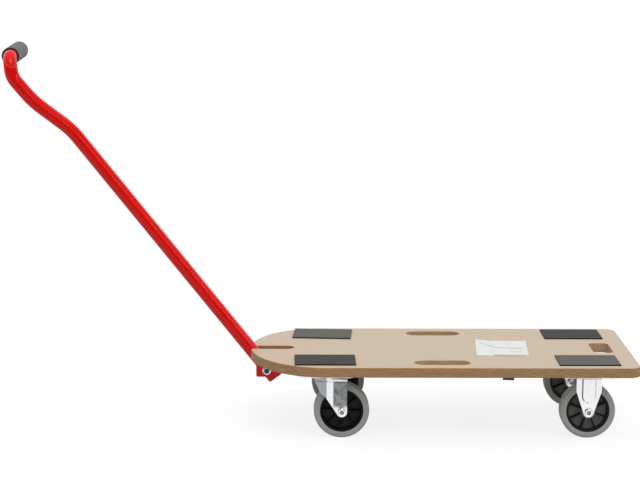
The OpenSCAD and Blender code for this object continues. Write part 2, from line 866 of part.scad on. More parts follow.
// Side view, from the axle: upright behind, and in front a lower edge that steps back under the round brow
module yoke_side_2d() {
    top = roof_z - axle_z + cut;
    front = trail + leg_outer + cut;
    slope = atan2(yoke_taper_lead - leg_end_radius, yoke_taper_rise);
    brow_mid = (yoke_taper_lead + yoke_brow_lead) / 2;
    circle(r = leg_end_radius);
    polygon([[leg_end_radius - blend, top], [-front, top], [-front, yoke_brow_rise + 3],
        [-yoke_brow_lead, yoke_brow_rise], [-brow_mid, yoke_taper_rise + 8],
        [-yoke_taper_lead, yoke_taper_rise],
        [-(leg_end_radius - blend) * cos(slope), -(leg_end_radius - blend) * sin(slope)],
        [leg_end_radius - blend, 0]]);
}

module yoke() {
    difference() {
        union() {
            intersection() {
                difference() {
                    yoke_form(leg_outer, roof_z, roof_bend_radius, 0);
                    translate([0, 0, -cut])
                        yoke_form(leg_inner, roof_z - fork_sheet + cut, roof_bend_radius - fork_sheet, cut);
                }
                translate([trail, 0, axle_z]) across_fork() yoke_side_2d();
            }
            translate([0, 0, roof_z - fork_sheet])
                ring(race_r + race_half, race_r - race_half, ball_z - race_gap / 2 - roof_z + fork_sheet);
            translate([yoke_rear - yoke_panel_inset - yoke_panel_width / 2, 0, axle_z])
                leg_panels(yoke_panel_width, yoke_panel_rise, roof_z - axle_z - roof_bend_radius);
        }
        ball_groove();
        translate([0, 0, roof_z - fork_sheet - cut])
            cylinder(r = kingpin_d / 2 + running_fit, h = fork_sheet + 2 * cut);
        translate([trail, 0, axle_z]) axle_hole();
    }
}

module front_left_yoke() { color(zinc_colour) at_front_caster(-1) yoke(); }
module front_right_yoke() { color(zinc_colour) at_front_caster(1) yoke(); }

/* ---------- rigid fork ---------- */

module rigid_side_2d() {
    half = rigid_leg_width / 2;
    slope = atan2(half - leg_end_radius, rigid_taper_rise);
    reach_x = (leg_end_radius - blend) * cos(slope);
    reach_z = -(leg_end_radius - blend) * sin(slope);
    circle(r = leg_end_radius);
    polygon([[half, plate_z - axle_z], [-half, plate_z - axle_z], [-half, rigid_taper_rise],
        [-reach_x, reach_z], [reach_x, reach_z], [half, rigid_taper_rise]]);
}

module fork() {
    half = rigid_leg_width;
    roof = plate_z - fork_sheet;
    difference() {
        union() {
            intersection() {
                difference() {
                    arch(-half, half, leg_outer, plate_z, roof_bend_radius);
                    translate([0, 0, -cut])
                        arch(-half, half, leg_inner, roof + cut, roof_bend_radius - fork_sheet);
                }
                translate([0, 0, axle_z]) across_fork() rigid_side_2d();
            }
            translate([0, 0, axle_z])
                leg_panels(panel_width, rigid_panel_rise, plate_z - axle_z - roof_bend_radius);
        }
        translate([0, 0, axle_z]) axle_hole();
    }
}

module rear_left_fork() { color(zinc_colour) at_rear_caster(-1) fork(); }
module rear_right_fork() { color(zinc_colour) at_rear_caster(1) fork(); }

/* ---------- axles ---------- */

module axle_bolt() {
    head = head_height * axle_d;
    translate([0, -leg_outer, 0]) along_y() cylinder(d = axle_d, h = fork_width + nut_height * axle_d + 2);
    translate([0, -leg_outer - head, 0]) along_y() hexagon(nut_across * axle_d, head);
}

module axle_nut() {
    height = nut_height * axle_d;
    translate([0, leg_outer + height, 0]) rotate([90, 0, 0]) lock_nut(axle_d, height);
}

module axle_sleeve() {
    translate([0, -leg_inner, 0]) along_y() ring(sleeve_d / 2, axle_d / 2 + clamp_fit, 2 * leg_inner);
}

module front_left_axle_bolt() { color(zinc_colour) at_front_axle(-1) axle_bolt(); }
module front_right_axle_bolt() { color(zinc_colour) at_front_axle(1) axle_bolt(); }
module rear_left_axle_bolt() { color(zinc_colour) at_rear_axle(-1) axle_bolt(); }
module rear_right_axle_bolt() { color(zinc_colour) at_rear_axle(1) axle_bolt(); }
module front_left_axle_nut() { color(zinc_colour) at_front_axle(-1) axle_nut(); }
module front_right_axle_nut() { color(zinc_colour) at_front_axle(1) axle_nut(); }
module rear_left_axle_nut() { color(zinc_colour) at_rear_axle(-1) axle_nut(); }
module rear_right_axle_nut() { color(zinc_colour) at_rear_axle(1) axle_nut(); }
module front_left_axle_sleeve() { color(steel_colour) at_front_axle(-1) axle_sleeve(); }
module front_right_axle_sleeve() { color(steel_colour) at_front_axle(1) axle_sleeve(); }
module rear_left_axle_sleeve() { color(steel_colour) at_rear_axle(-1) axle_sleeve(); }
module rear_right_axle_sleeve() { color(steel_colour) at_rear_axle(1) axle_sleeve(); }

/* ---------- wheels ---------- */

module wheel_core(turn) {
    bore_r = sleeve_d / 2 + running_fit;
    rim_inner = core_r - rim_thickness;
    along_y() {
        rotate_extrude() {
            translate([bore_r, -hub_half]) square([hub_d / 2 - bore_r, 2 * hub_half]);
            translate([hub_d / 2 - cut, -web_thickness / 2])
                square([rim_inner - hub_d / 2 + 2 * cut, web_thickness]);
            translate([rim_inner, -rim_width / 2]) square([rim_thickness, rim_width]);
        }
        for (i = [0 : rib_count - 1])
            rotate([0, 0, turn + i * 360 / rib_count])
                translate([hub_d / 2 - cut, -rib_thickness / 2, -rib_half])
                    cube([rim_inner - hub_d / 2 + 2 * cut, rib_thickness, 2 * rib_half]);
    }
}

module tyre() {
    flat_half = tyre_width / 2 - tyre_shoulder;
    along_y() rotate_extrude($fn = 128) {
        translate([core_r, -flat_half]) square([tyre_thickness, 2 * flat_half]);
        translate([core_r, -tyre_width / 2]) square([tyre_thickness - tyre_shoulder, tyre_width]);
        for (side = [-1, 1])
            translate([wheel_r - tyre_shoulder, side * flat_half]) circle(r = tyre_shoulder);
    }
}

module front_left_wheel_core() { color(core_colour) at_front_axle(-1) wheel_core(front_wheel_turn); }
module front_right_wheel_core() { color(core_colour) at_front_axle(1) wheel_core(front_wheel_turn); }
module rear_left_wheel_core() { color(core_colour) at_rear_axle(-1) wheel_core(rear_wheel_turn); }
module rear_right_wheel_core() { color(core_colour) at_rear_axle(1) wheel_core(rear_wheel_turn); }
module front_left_tyre() { color(tyre_colour) at_front_axle(-1) tyre(); }
module front_right_tyre() { color(tyre_colour) at_front_axle(1) tyre(); }
module rear_left_tyre() { color(tyre_colour) at_rear_axle(-1) tyre(); }
module rear_right_tyre() { color(tyre_colour) at_rear_axle(1) tyre(); }

deck();
front_left_pad();
front_right_pad();
rear_left_pad();
rear_right_pad();
handle_bracket();
bracket_screws();
pivot_bolt();
pivot_nut();
pivot_washers();
friction_washers();
handle_tube();
pivot_sleeve();
foam_grip();
grip_end_plug();
handle_clip();
clip_screws();
caster_bolts();
caster_inserts();
front_left_top_plate();
front_left_kingpin();
front_left_kingpin_nut();
front_left_swivel_balls();
front_left_yoke();
front_left_axle_bolt();
front_left_axle_nut();
front_left_axle_sleeve();
front_left_wheel_core();
front_left_tyre();
front_right_top_plate();
front_right_kingpin();
front_right_kingpin_nut();
front_right_swivel_balls();
front_right_yoke();
front_right_axle_bolt();
front_right_axle_nut();
front_right_axle_sleeve();
front_right_wheel_core();
front_right_tyre();
rear_left_top_plate();
rear_left_fork();
rear_left_axle_bolt();
rear_left_axle_nut();
rear_left_axle_sleeve();
rear_left_wheel_core();
rear_left_tyre();
rear_right_top_plate();
rear_right_fork();
rear_right_axle_bolt();
rear_right_axle_nut();
rear_right_axle_sleeve();
rear_right_wheel_core();
rear_right_tyre();
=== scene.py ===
# %% [markdown]
# # A folding platform cart
# The cart is a fibreboard deck on four casters, with a bent red tow handle that hinges in a slot in the
# board's nose. The CAD model already holds every part at its true size, so it is loaded first as a fixed
# frame: each piece made here takes its place from a CAD part's box and rides on that part's body.

# %% Load the frame
import json
import math

import bmesh
import bpy
import numpy as np
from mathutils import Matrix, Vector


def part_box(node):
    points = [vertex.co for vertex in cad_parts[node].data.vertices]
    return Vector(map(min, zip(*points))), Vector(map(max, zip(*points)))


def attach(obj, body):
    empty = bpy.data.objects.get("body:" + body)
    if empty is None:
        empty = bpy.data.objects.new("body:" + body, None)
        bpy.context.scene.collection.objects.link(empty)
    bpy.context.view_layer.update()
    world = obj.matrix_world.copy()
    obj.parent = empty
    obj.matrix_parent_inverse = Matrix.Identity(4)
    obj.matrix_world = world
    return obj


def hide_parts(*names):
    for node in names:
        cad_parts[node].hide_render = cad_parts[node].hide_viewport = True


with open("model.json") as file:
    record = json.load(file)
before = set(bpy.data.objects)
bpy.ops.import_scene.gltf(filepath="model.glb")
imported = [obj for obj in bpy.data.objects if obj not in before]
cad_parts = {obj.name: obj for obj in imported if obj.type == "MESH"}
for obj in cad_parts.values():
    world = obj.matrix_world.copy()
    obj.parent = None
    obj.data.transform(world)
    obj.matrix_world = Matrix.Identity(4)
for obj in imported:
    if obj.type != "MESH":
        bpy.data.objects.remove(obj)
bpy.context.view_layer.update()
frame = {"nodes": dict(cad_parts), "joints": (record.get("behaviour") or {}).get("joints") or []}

MM = 0.001
scene = bpy.context.scene

# %% [markdown]
# ## The camera
# A long lens a good four metres away keeps the wheels round and the board's edges nearly parallel. The
# camera looks along the board's width, slightly down, and is levelled by a small roll. Its three axes
# are worked out from those angles and written straight into its matrix.

# %% Camera
YAW, PITCH, ROLL = (math.radians(a) for a in (1.18, 9.35, 0.37))
LENS_MM, SENSOR_MM, FARTHEST = 124.76, 36.0, 200.0
TOWARDS_NOSE, BACK, HEIGHT = 0.3064, 4.028, 1.003


def shown(name, data):
    """A new object at the origin, linked into the scene."""
    obj = bpy.data.objects.new(name, data)
    scene.collection.objects.link(obj)
    return obj


ahead = np.array([math.sin(YAW) * math.cos(PITCH), math.cos(YAW) * math.cos(PITCH), -math.sin(PITCH)])
level = np.array([math.cos(YAW), -math.sin(YAW), 0.0])
over = np.cross(level, ahead)
right = math.cos(ROLL) * level + math.sin(ROLL) * over
up = math.cos(ROLL) * over - math.sin(ROLL) * level
lens = bpy.data.cameras.new("camera")
lens.lens, lens.sensor_width, lens.clip_end = LENS_MM, SENSOR_MM, FARTHEST
camera = shown("camera", lens)
matrix = np.eye(4)
matrix[:3, 0], matrix[:3, 1], matrix[:3, 2] = right, up, -ahead
deck_low, deck_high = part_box("deck")
matrix[:3, 3] = ((deck_low.x + deck_high.x) / 2 - TOWARDS_NOSE, -BACK, HEIGHT)
camera.matrix_world = matrix.T
scene.camera = camera
print("camera looks along", ahead.round(3))

# %% [markdown]
# ## Joining numbers into skins
# Nearly every part of the cart is a round or pressed form, and such forms are easy to write as a grid of
# points: one direction runs along the part and the other runs round it. One helper joins a grid into a
# closed skin, and another gathers the skins of a part into one mesh. Working with whole arrays keeps
# this quick, and checking the sign of the volume tells whether the faces point outwards.

# %% Skins from grids
def squares(rows, columns, ring=False):
    """Point numbers of a grid, of each point's neighbour in its row, and of every square's four corners.
    Columns wrap round, and rows wrap too if ring is true."""
    here = np.arange(rows * columns).reshape(rows, columns)
    beside = np.roll(here, -1, axis=1)
    if ring:
        corners = (here, beside, np.roll(beside, -1, axis=0), np.roll(here, -1, axis=0))
    else:
        corners = (here[:-1], beside[:-1], beside[1:], here[1:])
    return here, beside, np.stack(corners, -1).reshape(-1, 4)


def skin(grid, ring=False):
    """Joins a grid (rows, columns, xyz) into a closed skin. Unless its rows wrap round as a ring, each
    end row is closed by a fan to its mean point. The faces point outwards where the volume is > 0."""
    rows, columns = grid.shape[:2]
    here, beside, quads = squares(rows, columns, ring)
    points, fans = grid.reshape(-1, 3), np.zeros((0, 3), int)
    if not ring:
        points = np.vstack([points, grid[0].mean(0), grid[-1].mean(0)])
        tip = np.full(columns, rows * columns)
        fans = np.vstack([np.stack([beside[0], here[0], tip], -1),
                          np.stack([here[-1], beside[-1], tip + 1], -1)])
    p = points[np.vstack([quads[:, :3], quads[:, [0, 2, 3]], fans])]
    if np.einsum("ij,ij->i", p[:, 0], np.cross(p[:, 1], p[:, 2])).sum() < 0:
        quads, fans = quads[:, ::-1], fans[:, ::-1]
    return points, quads, fans


def finish_mesh(obj, body, material, stands_for=(), sharp=35):
    """Shades the mesh smooth up to a crease angle, weights its normals by area, seats it on its body,
    gives it its material and hides the CAD parts that it stands for."""
    obj.data.materials.clear()
    obj.data.materials.append(material)
    obj.data.shade_smooth()
    obj.data.set_sharp_from_angle(angle=math.radians(sharp))
    weights = obj.modifiers.new("even shading", "WEIGHTED_NORMAL")
    weights.keep_sharp = True
    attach(obj, body)
    if stands_for:
        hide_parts(*stands_for)
    return obj


def piece(name, skins, body, material, stands_for=(), sharp=35):
    """Gathers skins into one mesh object: each skin's point numbers are shifted past those before it."""
    starts = np.cumsum([0] + [len(s[0]) for s in skins])
    faces = [f for s, at in zip(skins, starts) for part in s[1:] for f in (part + at).tolist()]
    mesh = bpy.data.meshes.new(name)
    mesh.from_pydata(np.vstack([s[0] for s in skins]), [], faces)
    obj = shown(name, mesh)
    finish_mesh(obj, body, material, stands_for, sharp)
    print(f"{name}: {len(mesh.vertices)} points, {len(mesh.polygons)} faces, rides on {body}")
    return obj


# %% Marks on a mesh
def points_of(obj):
    """The mesh's points as one array."""
    flat = np.empty(3 * len(obj.data.vertices))
    obj.data.vertices.foreach_get("co", flat)
    return flat.reshape(-1, 3)


def mark(obj, name, values):
    """Writes one number per point on the mesh, which a finish can read by its name."""
    values = np.asarray(values, dtype=np.float32)
    obj.data.attributes.new(name, "FLOAT", "POINT").data.foreach_set("value", values)
    print(f"{obj.name}: {int((values > 0.5).sum())} points marked {name}")


# %% Profiles and placing
def soften(profile, radius):
    """Rounds every corner of a closed outline. Each corner becomes a quadratic curve from a point radius
    before it, through (1-t)^2 A + 2t(1-t) P + t^2 B, to a point radius after it."""
    before, after = np.roll(profile, 1, axis=0) - profile, np.roll(profile, -1, axis=0) - profile
    room = lambda v: np.minimum(radius, 0.45 * np.linalg.norm(v, axis=1))[:, None]
    unit = lambda v: v / np.linalg.norm(v, axis=1)[:, None]
    a, b = profile + unit(before) * room(before), profile + unit(after) * room(after)
    t = np.linspace(0, 1, 4)[None, :, None]
    curve = (1 - t) ** 2 * a[:, None] + 2 * t * (1 - t) * profile[:, None] + t ** 2 * b[:, None]
    return curve.reshape(-1, 2)


def full_turn(count):
    """Evenly spaced angles round a circle."""
    return np.linspace(0, 2 * np.pi, count, endpoint=False)


def turned(r, a, h):
    """A grid round Z: x = r cos a, y = r sin a, z = h."""
    return np.stack([r * np.cos(a), r * np.sin(a), h + 0 * a], -1)


LATHE_STEPS = 96


def lathe(profile, around=LATHE_STEPS):
    """Turns (radius, height) points round Z."""
    return turned(profile[:, :1], full_turn(around), profile[:, 1:2])


AXES = {"z": np.eye(3), "y": np.array([[1, 0, 0], [0, 0, -1], [0, 1, 0]]),
        "-y": np.array([[1, 0, 0], [0, 0, 1], [0, -1, 0]])}


def place(grid, origin, axis="z"):
    """Stands a shape made round Z along another axis, at origin: point = origin + shape times axes."""
    return np.asarray(origin) + grid @ AXES[axis]


def centre(node):
    """Middle of a CAD part's box."""
    low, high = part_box(node)
    return np.array((low + high) / 2)


# %% [markdown]
# ## Effects that several finishes share
# Real surfaces are never one colour. Small blotches, fine grain, rubbed edges and a little settled dust
# turn up on wood, paint, plating and rubber alike, so each is built once as a node group and placed in
# the materials with its own values. A group gives out a mask or a height, never a shader.

# %% Node helpers
def srgb(r, g, b):
    """Screen colour 0-255 to the linear values that shaders use."""
    c = np.array([r, g, b]) / 255
    return (*np.where(c <= 0.04045, c / 12.92, ((c + 0.055) / 1.055) ** 2.4), 1.0)


def add(tree, kind, settings=(), **sockets):
    """Adds a node, applies its settings and fills its inputs: a socket is linked, a plain value is set.
    An underscore in an input's name stands for a space, and in0, in1... name inputs by number."""
    node = tree.nodes.new(kind)
    for key, value in dict(settings).items():
        setattr(node, key, value)
    for key, value in sockets.items():
        socket = node.inputs[int(key[2:]) if key[2:].isdigit() else key.replace("_", " ")]
        if isinstance(value, bpy.types.NodeSocket):
            tree.links.new(value, socket)
        else:
            socket.default_value = value
    return node


def remap(tree, value, low, high, to_low=0.0, to_high=1.0):
    """Stretches a value from one range to another and clamps it."""
    node = add(tree, "ShaderNodeMapRange", in0=value, in1=low, in2=high, in3=to_low, in4=to_high)
    return node.outputs[0]


def sums(tree, operation, a, b=0.0):
    """One step of arithmetic."""
    return add(tree, "ShaderNodeMath", {"operation": operation}, in0=a, in1=b).outputs[0]


def times(tree, a, b):
    """Product of two values, which for masks is where both hold."""
    return sums(tree, "MULTIPLY", a, b)


def blend(tree, mask, a, b):
    """Colour a where the mask is 0 and b where it is 1."""
    return add(tree, "ShaderNodeMix", {"data_type": "RGBA"}, in0=mask, in6=a, in7=b).outputs[2]


def choose(tree, mask, a, b):
    """Number a where the mask is 0 and b where it is 1."""
    return add(tree, "ShaderNodeMix", {"data_type": "FLOAT"}, in0=mask, in2=a, in3=b).outputs[0]


def place_in(tree):
    """The point's own place in the frame, in metres."""
    return add(tree, "ShaderNodeTexCoord").outputs["Object"]


def split(tree, kind):
    """X, Y and Z of a texture coordinate: Object is a place, Normal the way that a face points, and
    Generated, in a sky, the way that a ray goes."""
    coordinate = add(tree, "ShaderNodeTexCoord").outputs[kind]
    return add(tree, "ShaderNodeSeparateXYZ", Vector=coordinate).outputs


def noise(tree, size, **values):
    """Smooth noise at the point's own place, with features about size metres across."""
    scale = sums(tree, "DIVIDE", 1.0, size)
    return add(tree, "ShaderNodeTexNoise", Vector=place_in(tree), Scale=scale, **values).outputs[0]


def marked(tree, name):
    """Reads a number that mark() wrote on the mesh. It is 0 where nothing was written."""
    return add(tree, "ShaderNodeAttribute", {"attribute_name": name}).outputs["Fac"]


def group(name, inputs, *outputs):
    """An empty node group with named number inputs (name: value) and number outputs."""
    tree = bpy.data.node_groups.new(name, "ShaderNodeTree")
    for key, value in inputs.items():
        socket = tree.interface.new_socket(key, in_out="INPUT", socket_type="NodeSocketFloat")
        socket.default_value = value
    for key in outputs:
        tree.interface.new_socket(key, in_out="OUTPUT", socket_type="NodeSocketFloat")
    return tree, tree.nodes.new("NodeGroupInput").outputs, tree.nodes.new("NodeGroupOutput").inputs


def use(tree, shared, **values):
    """Places a shared group in a material with its own values."""
    return add(tree, "ShaderNodeGroup", {"node_tree": shared}, **values).outputs


# %% Shared groups
blotches, given, out = group("blotches", {"Size": 20 * MM, "Contrast": 1.0}, "Mask")
soft = noise(blotches, given["Size"], Detail=4.0, Roughness=0.6)
half = sums(blotches, "DIVIDE", 0.25, given["Contrast"])
low, high = sums(blotches, "SUBTRACT", 0.5, half), sums(blotches, "ADD", 0.5, half)
blotches.links.new(remap(blotches, soft, low, high), out["Mask"])

grain, given, out = group("fine grain", {"Size": MM}, "Height", "Mask")
fine = noise(grain, given["Size"], Detail=3.0, Roughness=0.55)
grain.links.new(fine, out["Height"])
grain.links.new(remap(grain, fine, 0.35, 0.65), out["Mask"])

rubbed, given, out = group("rubbed edges", {"Width": MM, "Amount": 1.0}, "Mask")
round_normal = add(rubbed, "ShaderNodeBevel", {"samples": 4}, Radius=given["Width"]).outputs[0]
true_normal = add(rubbed, "ShaderNodeNewGeometry").outputs["Normal"]
same = add(rubbed, "ShaderNodeVectorMath", {"operation": "DOT_PRODUCT"}, in0=round_normal,
           in1=true_normal).outputs["Value"]
edge = remap(rubbed, same, 0.985, 0.80)
ragged = add(rubbed, "ShaderNodeTexNoise", Vector=place_in(rubbed), Scale=220.0, Detail=3.0).outputs[0]
patchy = times(rubbed, edge, remap(rubbed, ragged, 0.42, 0.62))
rubbed.links.new(times(rubbed, patchy, given["Amount"]), out["Mask"])

dust, given, out = group("settled dust", {"Amount": 0.5, "Size": 30 * MM}, "Mask")
clouds = remap(dust, noise(dust, given["Size"], Detail=5.0), 0.4, 0.7)
lying = times(dust, remap(dust, split(dust, "Normal")["Z"], 0.2, 0.95), clouds)
dust.links.new(times(dust, lying, given["Amount"]), out["Mask"])
print("groups:", [g.name for g in bpy.data.node_groups])


# %% A material to start from
def material(name, **constants):
    """A material with one Principled shader. Constants go on the shader's own sockets."""
    made = bpy.data.materials.new(name)
    made.use_nodes = True
    shader = made.node_tree.nodes["Principled BSDF"]
    for key, value in constants.items():
        shader.inputs[key.replace("_", " ")].default_value = value
    return made, made.node_tree, shader.inputs


def dress(tree, shader, colour, rough, height=None, relief=0.0, strength=1.0):
    """Feeds the shader a colour, a roughness and, through one Bump node, a relief in metres."""
    tree.links.new(colour, shader["Base Color"])
    tree.links.new(rough, shader["Roughness"])
    if height:
        node = add(tree, "ShaderNodeBump", Height=height, Distance=relief, Strength=strength)
        tree.links.new(node.outputs[0], shader["Normal"])


# %% [markdown]
# ## Fibreboard
# The deck is medium-density fibreboard: a sanded face of pale compressed fibre with tiny darker flecks,
# and sawn edges that look browner because the cut fibres catch the light edge-on. One material covers
# both. It looks at which way the surface faces and mixes the face's colour with the edge's.

# %% Fibreboard finish
mdf, tree, shader = material("fibreboard")
upright = sums(tree, "ABSOLUTE", split(tree, "Normal")["Z"])
flat_face = remap(tree, upright, 0.75, 0.97)
flecks = use(tree, grain, Size=0.0016)["Mask"]
clouds = use(tree, blotches, Size=0.06, Contrast=0.8)["Mask"]
face = blend(tree, flecks, srgb(180, 162, 141), srgb(194, 176, 155))
face = blend(tree, times(tree, clouds, 0.35), face, srgb(177, 159, 137))
layers = add(tree, "ShaderNodeMapping", Vector=place_in(tree), Scale=(60.0, 60.0, 900.0)).outputs[0]
streaks = add(tree, "ShaderNodeTexNoise", Vector=layers, Scale=1.0, Detail=3.0).outputs[0]
bands = remap(tree, streaks, 0.35, 0.65)
sawn = blend(tree, bands, srgb(144, 109, 72), srgb(169, 132, 91))
# The hand holes' walls get a lighter copy of the sawn edge's colour: painted light.
painted_lit_hole_wall = blend(tree, bands, srgb(164, 131, 99), srgb(188, 154, 120))
sawn = blend(tree, marked(tree, "inside"), sawn, painted_lit_hole_wall)
dress(tree, shader, blend(tree, flat_face, sawn, face), remap(tree, flecks, 0, 1, 0.62, 0.78),
      sums(tree, "ADD", flecks, streaks), 0.08 * MM)

# %% [markdown]
# ## The deck board
# The board is one flat sheet with an elliptical nose, two rounded rear corners, a slot for the handle
# and three hand holes. A profile with eased edges is carried along each outline: every outline point
# has a direction that leads out of the wood, and each row of the profile steps back along it. The flat
# faces are then filled between the innermost rows, holes and all.

# %% Outlines of the board
BOARD_LENGTH, NOSE, CORNER, LIP = 700 * MM, 137 * MM, 22 * MM, 3 * MM
SLOT_HALF, SLOT_END = 14 * MM, 66 * MM
SIDE_HOLE, SIDE_HOLE_X, SIDE_HOLE_Y = (101 * MM, 37 * MM, 18.4 * MM), 4 * MM, 129.5 * MM
REAR_HOLE, REAR_HOLE_IN = (36 * MM, 85 * MM, 11 * MM), 49.5 * MM
low, high = (np.array(corner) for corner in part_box("deck"))
rear_x, half_width = high[0], high[1]
nose_x = rear_x - BOARD_LENGTH


def arc(cx, cy, rx, ry, start, end, count, side=1):
    """Points of an elliptical arc and the direction out of the wood at each, (x, y, nx, ny). The normal
    of an ellipse is (cos a / rx, sin a / ry); side is -1 where the wood lies outside the arc."""
    a = np.radians(np.linspace(start, end, count))
    normal = np.stack([np.cos(a) / rx, np.sin(a) / ry], -1)
    normal *= side / np.linalg.norm(normal, axis=1)[:, None]
    return np.hstack([np.stack([cx + rx * np.cos(a), cy + ry * np.sin(a)], -1), normal])


def rounded_slot(cx, cy, length, width, radius, steps=12):
    """A rectangle with round corners as four arcs, with directions that lead into the hole."""
    x, y = length / 2 - radius, width / 2 - radius
    corners = [(x, y, 0), (-x, y, 90), (-x, -y, 180), (x, -y, 270)]
    return np.vstack([arc(cx + i, cy + j, radius, radius, s, s + 90, steps, -1) for i, j, s in corners])


lip_angle = math.degrees(math.asin((SLOT_HALF + LIP) / half_width))
lip_x = nose_x + NOSE * (1 - math.cos(math.radians(lip_angle))) + LIP
outer = np.vstack([
    arc(nose_x + NOSE, 0, NOSE, half_width, 180 + lip_angle, 270, 60),
    arc(rear_x - CORNER, CORNER - half_width, CORNER, CORNER, -90, 0, 16),
    arc(rear_x - CORNER, half_width - CORNER, CORNER, CORNER, 0, 90, 16),
    arc(nose_x + NOSE, 0, NOSE, half_width, 90, 180 - lip_angle, 60),
    arc(lip_x, SLOT_HALF + LIP, LIP, LIP, 185, 270, 8),
    arc(nose_x + SLOT_END, 0, SLOT_HALF, SLOT_HALF, 90, -90, 32, -1),
    arc(lip_x, -SLOT_HALF - LIP, LIP, LIP, 90, 175, 8)])
side_hole_x = rear_x - BOARD_LENGTH / 2 - SIDE_HOLE_X
holes = [rounded_slot(side_hole_x, side * SIDE_HOLE_Y, *SIDE_HOLE, 20) for side in (-1, 1)]
holes.append(rounded_slot(rear_x - REAR_HOLE_IN, 0, *REAR_HOLE))
print("outline points:", len(outer), "holes:", [len(h) for h in holes])

# %% The board itself
EASE = 1.5 * MM
quarter = np.radians(np.linspace(0, 90, 6))
steps_back = EASE * (1 - np.sin(quarter))
profile = np.vstack([np.stack([steps_back, high[2] - EASE + EASE * np.cos(quarter)], -1),
                     np.stack([steps_back, low[2] + EASE - EASE * np.cos(quarter)], -1)[::-1]])


def carried(outline):
    """Profile carried along an outline: point = outline - direction * step back, at the row's height."""
    flat = outline[None, :, :2] - outline[None, :, 2:] * profile[:, None, :1]
    return np.concatenate([flat, np.broadcast_to(profile[:, None, 1:], (*flat.shape[:2], 1))], -1)


board = bmesh.new()
rims = {0: [], -1: []}
for outline in [outer, *holes]:
    grid = carried(outline)
    points = [board.verts.new(p) for p in grid.reshape(-1, 3)]
    here, beside, quads = squares(*grid.shape[:2])
    for quad in quads:
        board.faces.new([points[i] for i in quad])
    for row in rims:
        rims[row] += [board.edges.get((points[a], points[b])) for a, b in zip(here[row], beside[row])]
for row in rims.values():
    bmesh.ops.triangle_fill(board, edges=row, use_beauty=True, use_dissolve=False)
bmesh.ops.recalc_face_normals(board, faces=board.faces)


def from_edit(made, name):
    """Turns an edit mesh into an object of its own."""
    mesh = bpy.data.meshes.new(name)
    made.to_mesh(mesh)
    made.free()
    print(f"{name}: {len(mesh.polygons)} faces")
    return shown(name, mesh)


deck_board = finish_mesh(from_edit(board, "deck_board"), "deck_body", mdf, ["deck"])
# Marks the hand holes' walls, which the fibreboard paints lighter as painted light.
mark(deck_board, "inside", np.arange(len(deck_board.data.vertices)) >= len(profile) * len(outer))

# %% [markdown]
# ## Anti-slip pads
# Four dark rubber pads are stuck to the board's corners to stop a load from sliding. Their top is
# moulded in fine ribs that run along the pad. A pad is a height field: the height at a point is the
# thickness, less a small wave across the ribs, less a fall at the rim where the rubber rounds over.

# %% Rubber for the pads
def pad_finish(name, dark, pale):
    """Ribbed rubber: two close tones and pale worn patches on top, and sides painted near-black as
    shade.
    """
    made, tree, shader = material(name)
    specks = use(tree, grain, Size=0.0012)
    worn = use(tree, blotches, Size=0.03, Contrast=0.9)["Mask"]
    colour = blend(tree, specks["Mask"], srgb(*dark), srgb(*pale))
    colour = blend(tree, times(tree, worn, 0.3), colour, srgb(*(c + 12 for c in pale)))
    # Faces that turn away from up are painted near-black as shade.
    colour = blend(tree, remap(tree, split(tree, "Normal")["Z"], 0.2, 0.75), srgb(18, 17, 17), colour)
    dress(tree, shader, colour, remap(tree, worn, 0, 1, 0.78, 0.92), specks["Height"], 0.12 * MM)
    return made


# Two pads get a lighter copy of the same rubber, with its sheen painted in.
pad_without_sheen = pad_finish("dark pad rubber", (46, 45, 43), (57, 56, 53))
pad_with_painted_sheen = pad_finish("pad rubber with painted sheen", (78, 77, 74), (91, 90, 86))

# %% Four ribbed pads
PAD_LENGTH, PAD_WIDTH, PAD_THICK = 110 * MM, 80 * MM, 3 * MM
RIB_PITCH, RIB_DEPTH, PAD_ROUND = 3.2 * MM, 0.45 * MM, 1.2 * MM
PLAIN_BORDER, RIM_HEIGHT, ASKEW = 3 * MM, 0.6 * MM, -4


def rim_fall(offset, half):
    """How far the rim has rounded off at an offset from the middle: a quarter circle at the end."""
    inside = np.clip((np.abs(offset) - (half - PAD_ROUND)) / PAD_ROUND, 0, 1)
    return PAD_ROUND * (1 - np.sqrt(1 - inside ** 2))


def pad_skin(turn):
    """Rows across the pad and columns along it. Height = thickness - rib wave - rim falls. The skin goes
    over the top and back underneath, so that a row is a closed loop."""
    half_width, half_length = PAD_WIDTH / 2, PAD_LENGTH / 2
    rim = np.linspace(half_width - PAD_ROUND, half_width, 7)
    across = np.unique(np.concatenate([np.linspace(-half_width, half_width, 226), rim, -rim]))
    ease = half_length - PAD_ROUND * (1 - np.sin(np.radians([0, 20, 40, 60, 80, 90])))
    along = np.concatenate([-ease[::-1], np.linspace(-0.8, 0.8, 9) * half_length, ease])
    x, y = np.meshgrid(along, across)
    rib = RIB_DEPTH * 0.5 * (1 - np.cos(2 * np.pi * y / RIB_PITCH)) ** 2 / 2
    rib *= np.clip((half_width - PLAIN_BORDER - np.abs(y)) / MM, 0, 1)
    top = PAD_THICK - rib - rim_fall(x, half_length) - rim_fall(y, half_width)
    over = np.stack([x, y, np.maximum(top, RIM_HEIGHT)], -1)
    grid = np.concatenate([over, np.stack([x[:, ::-1], y, 0 * top], -1)], axis=1)
    c, s = math.cos(math.radians(turn)), math.sin(math.radians(turn))
    return grid @ np.array([[c, s, 0], [-s, c, 0], [0, 0, 1]])


for node in ("front_left_pad", "front_right_pad", "rear_left_pad", "rear_right_pad"):
    low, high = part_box(node)
    at = ((low.x + high.x) / 2, (low.y + high.y) / 2, low.z)
    turn = ASKEW if node == "front_right_pad" else 0
    rubber = pad_without_sheen if node in ("front_left_pad", "rear_right_pad") else pad_with_painted_sheen
    piece(node.replace("_pad", "_rubber_pad"), [skin(place(pad_skin(turn), at))], "deck_body", rubber,
          [node])

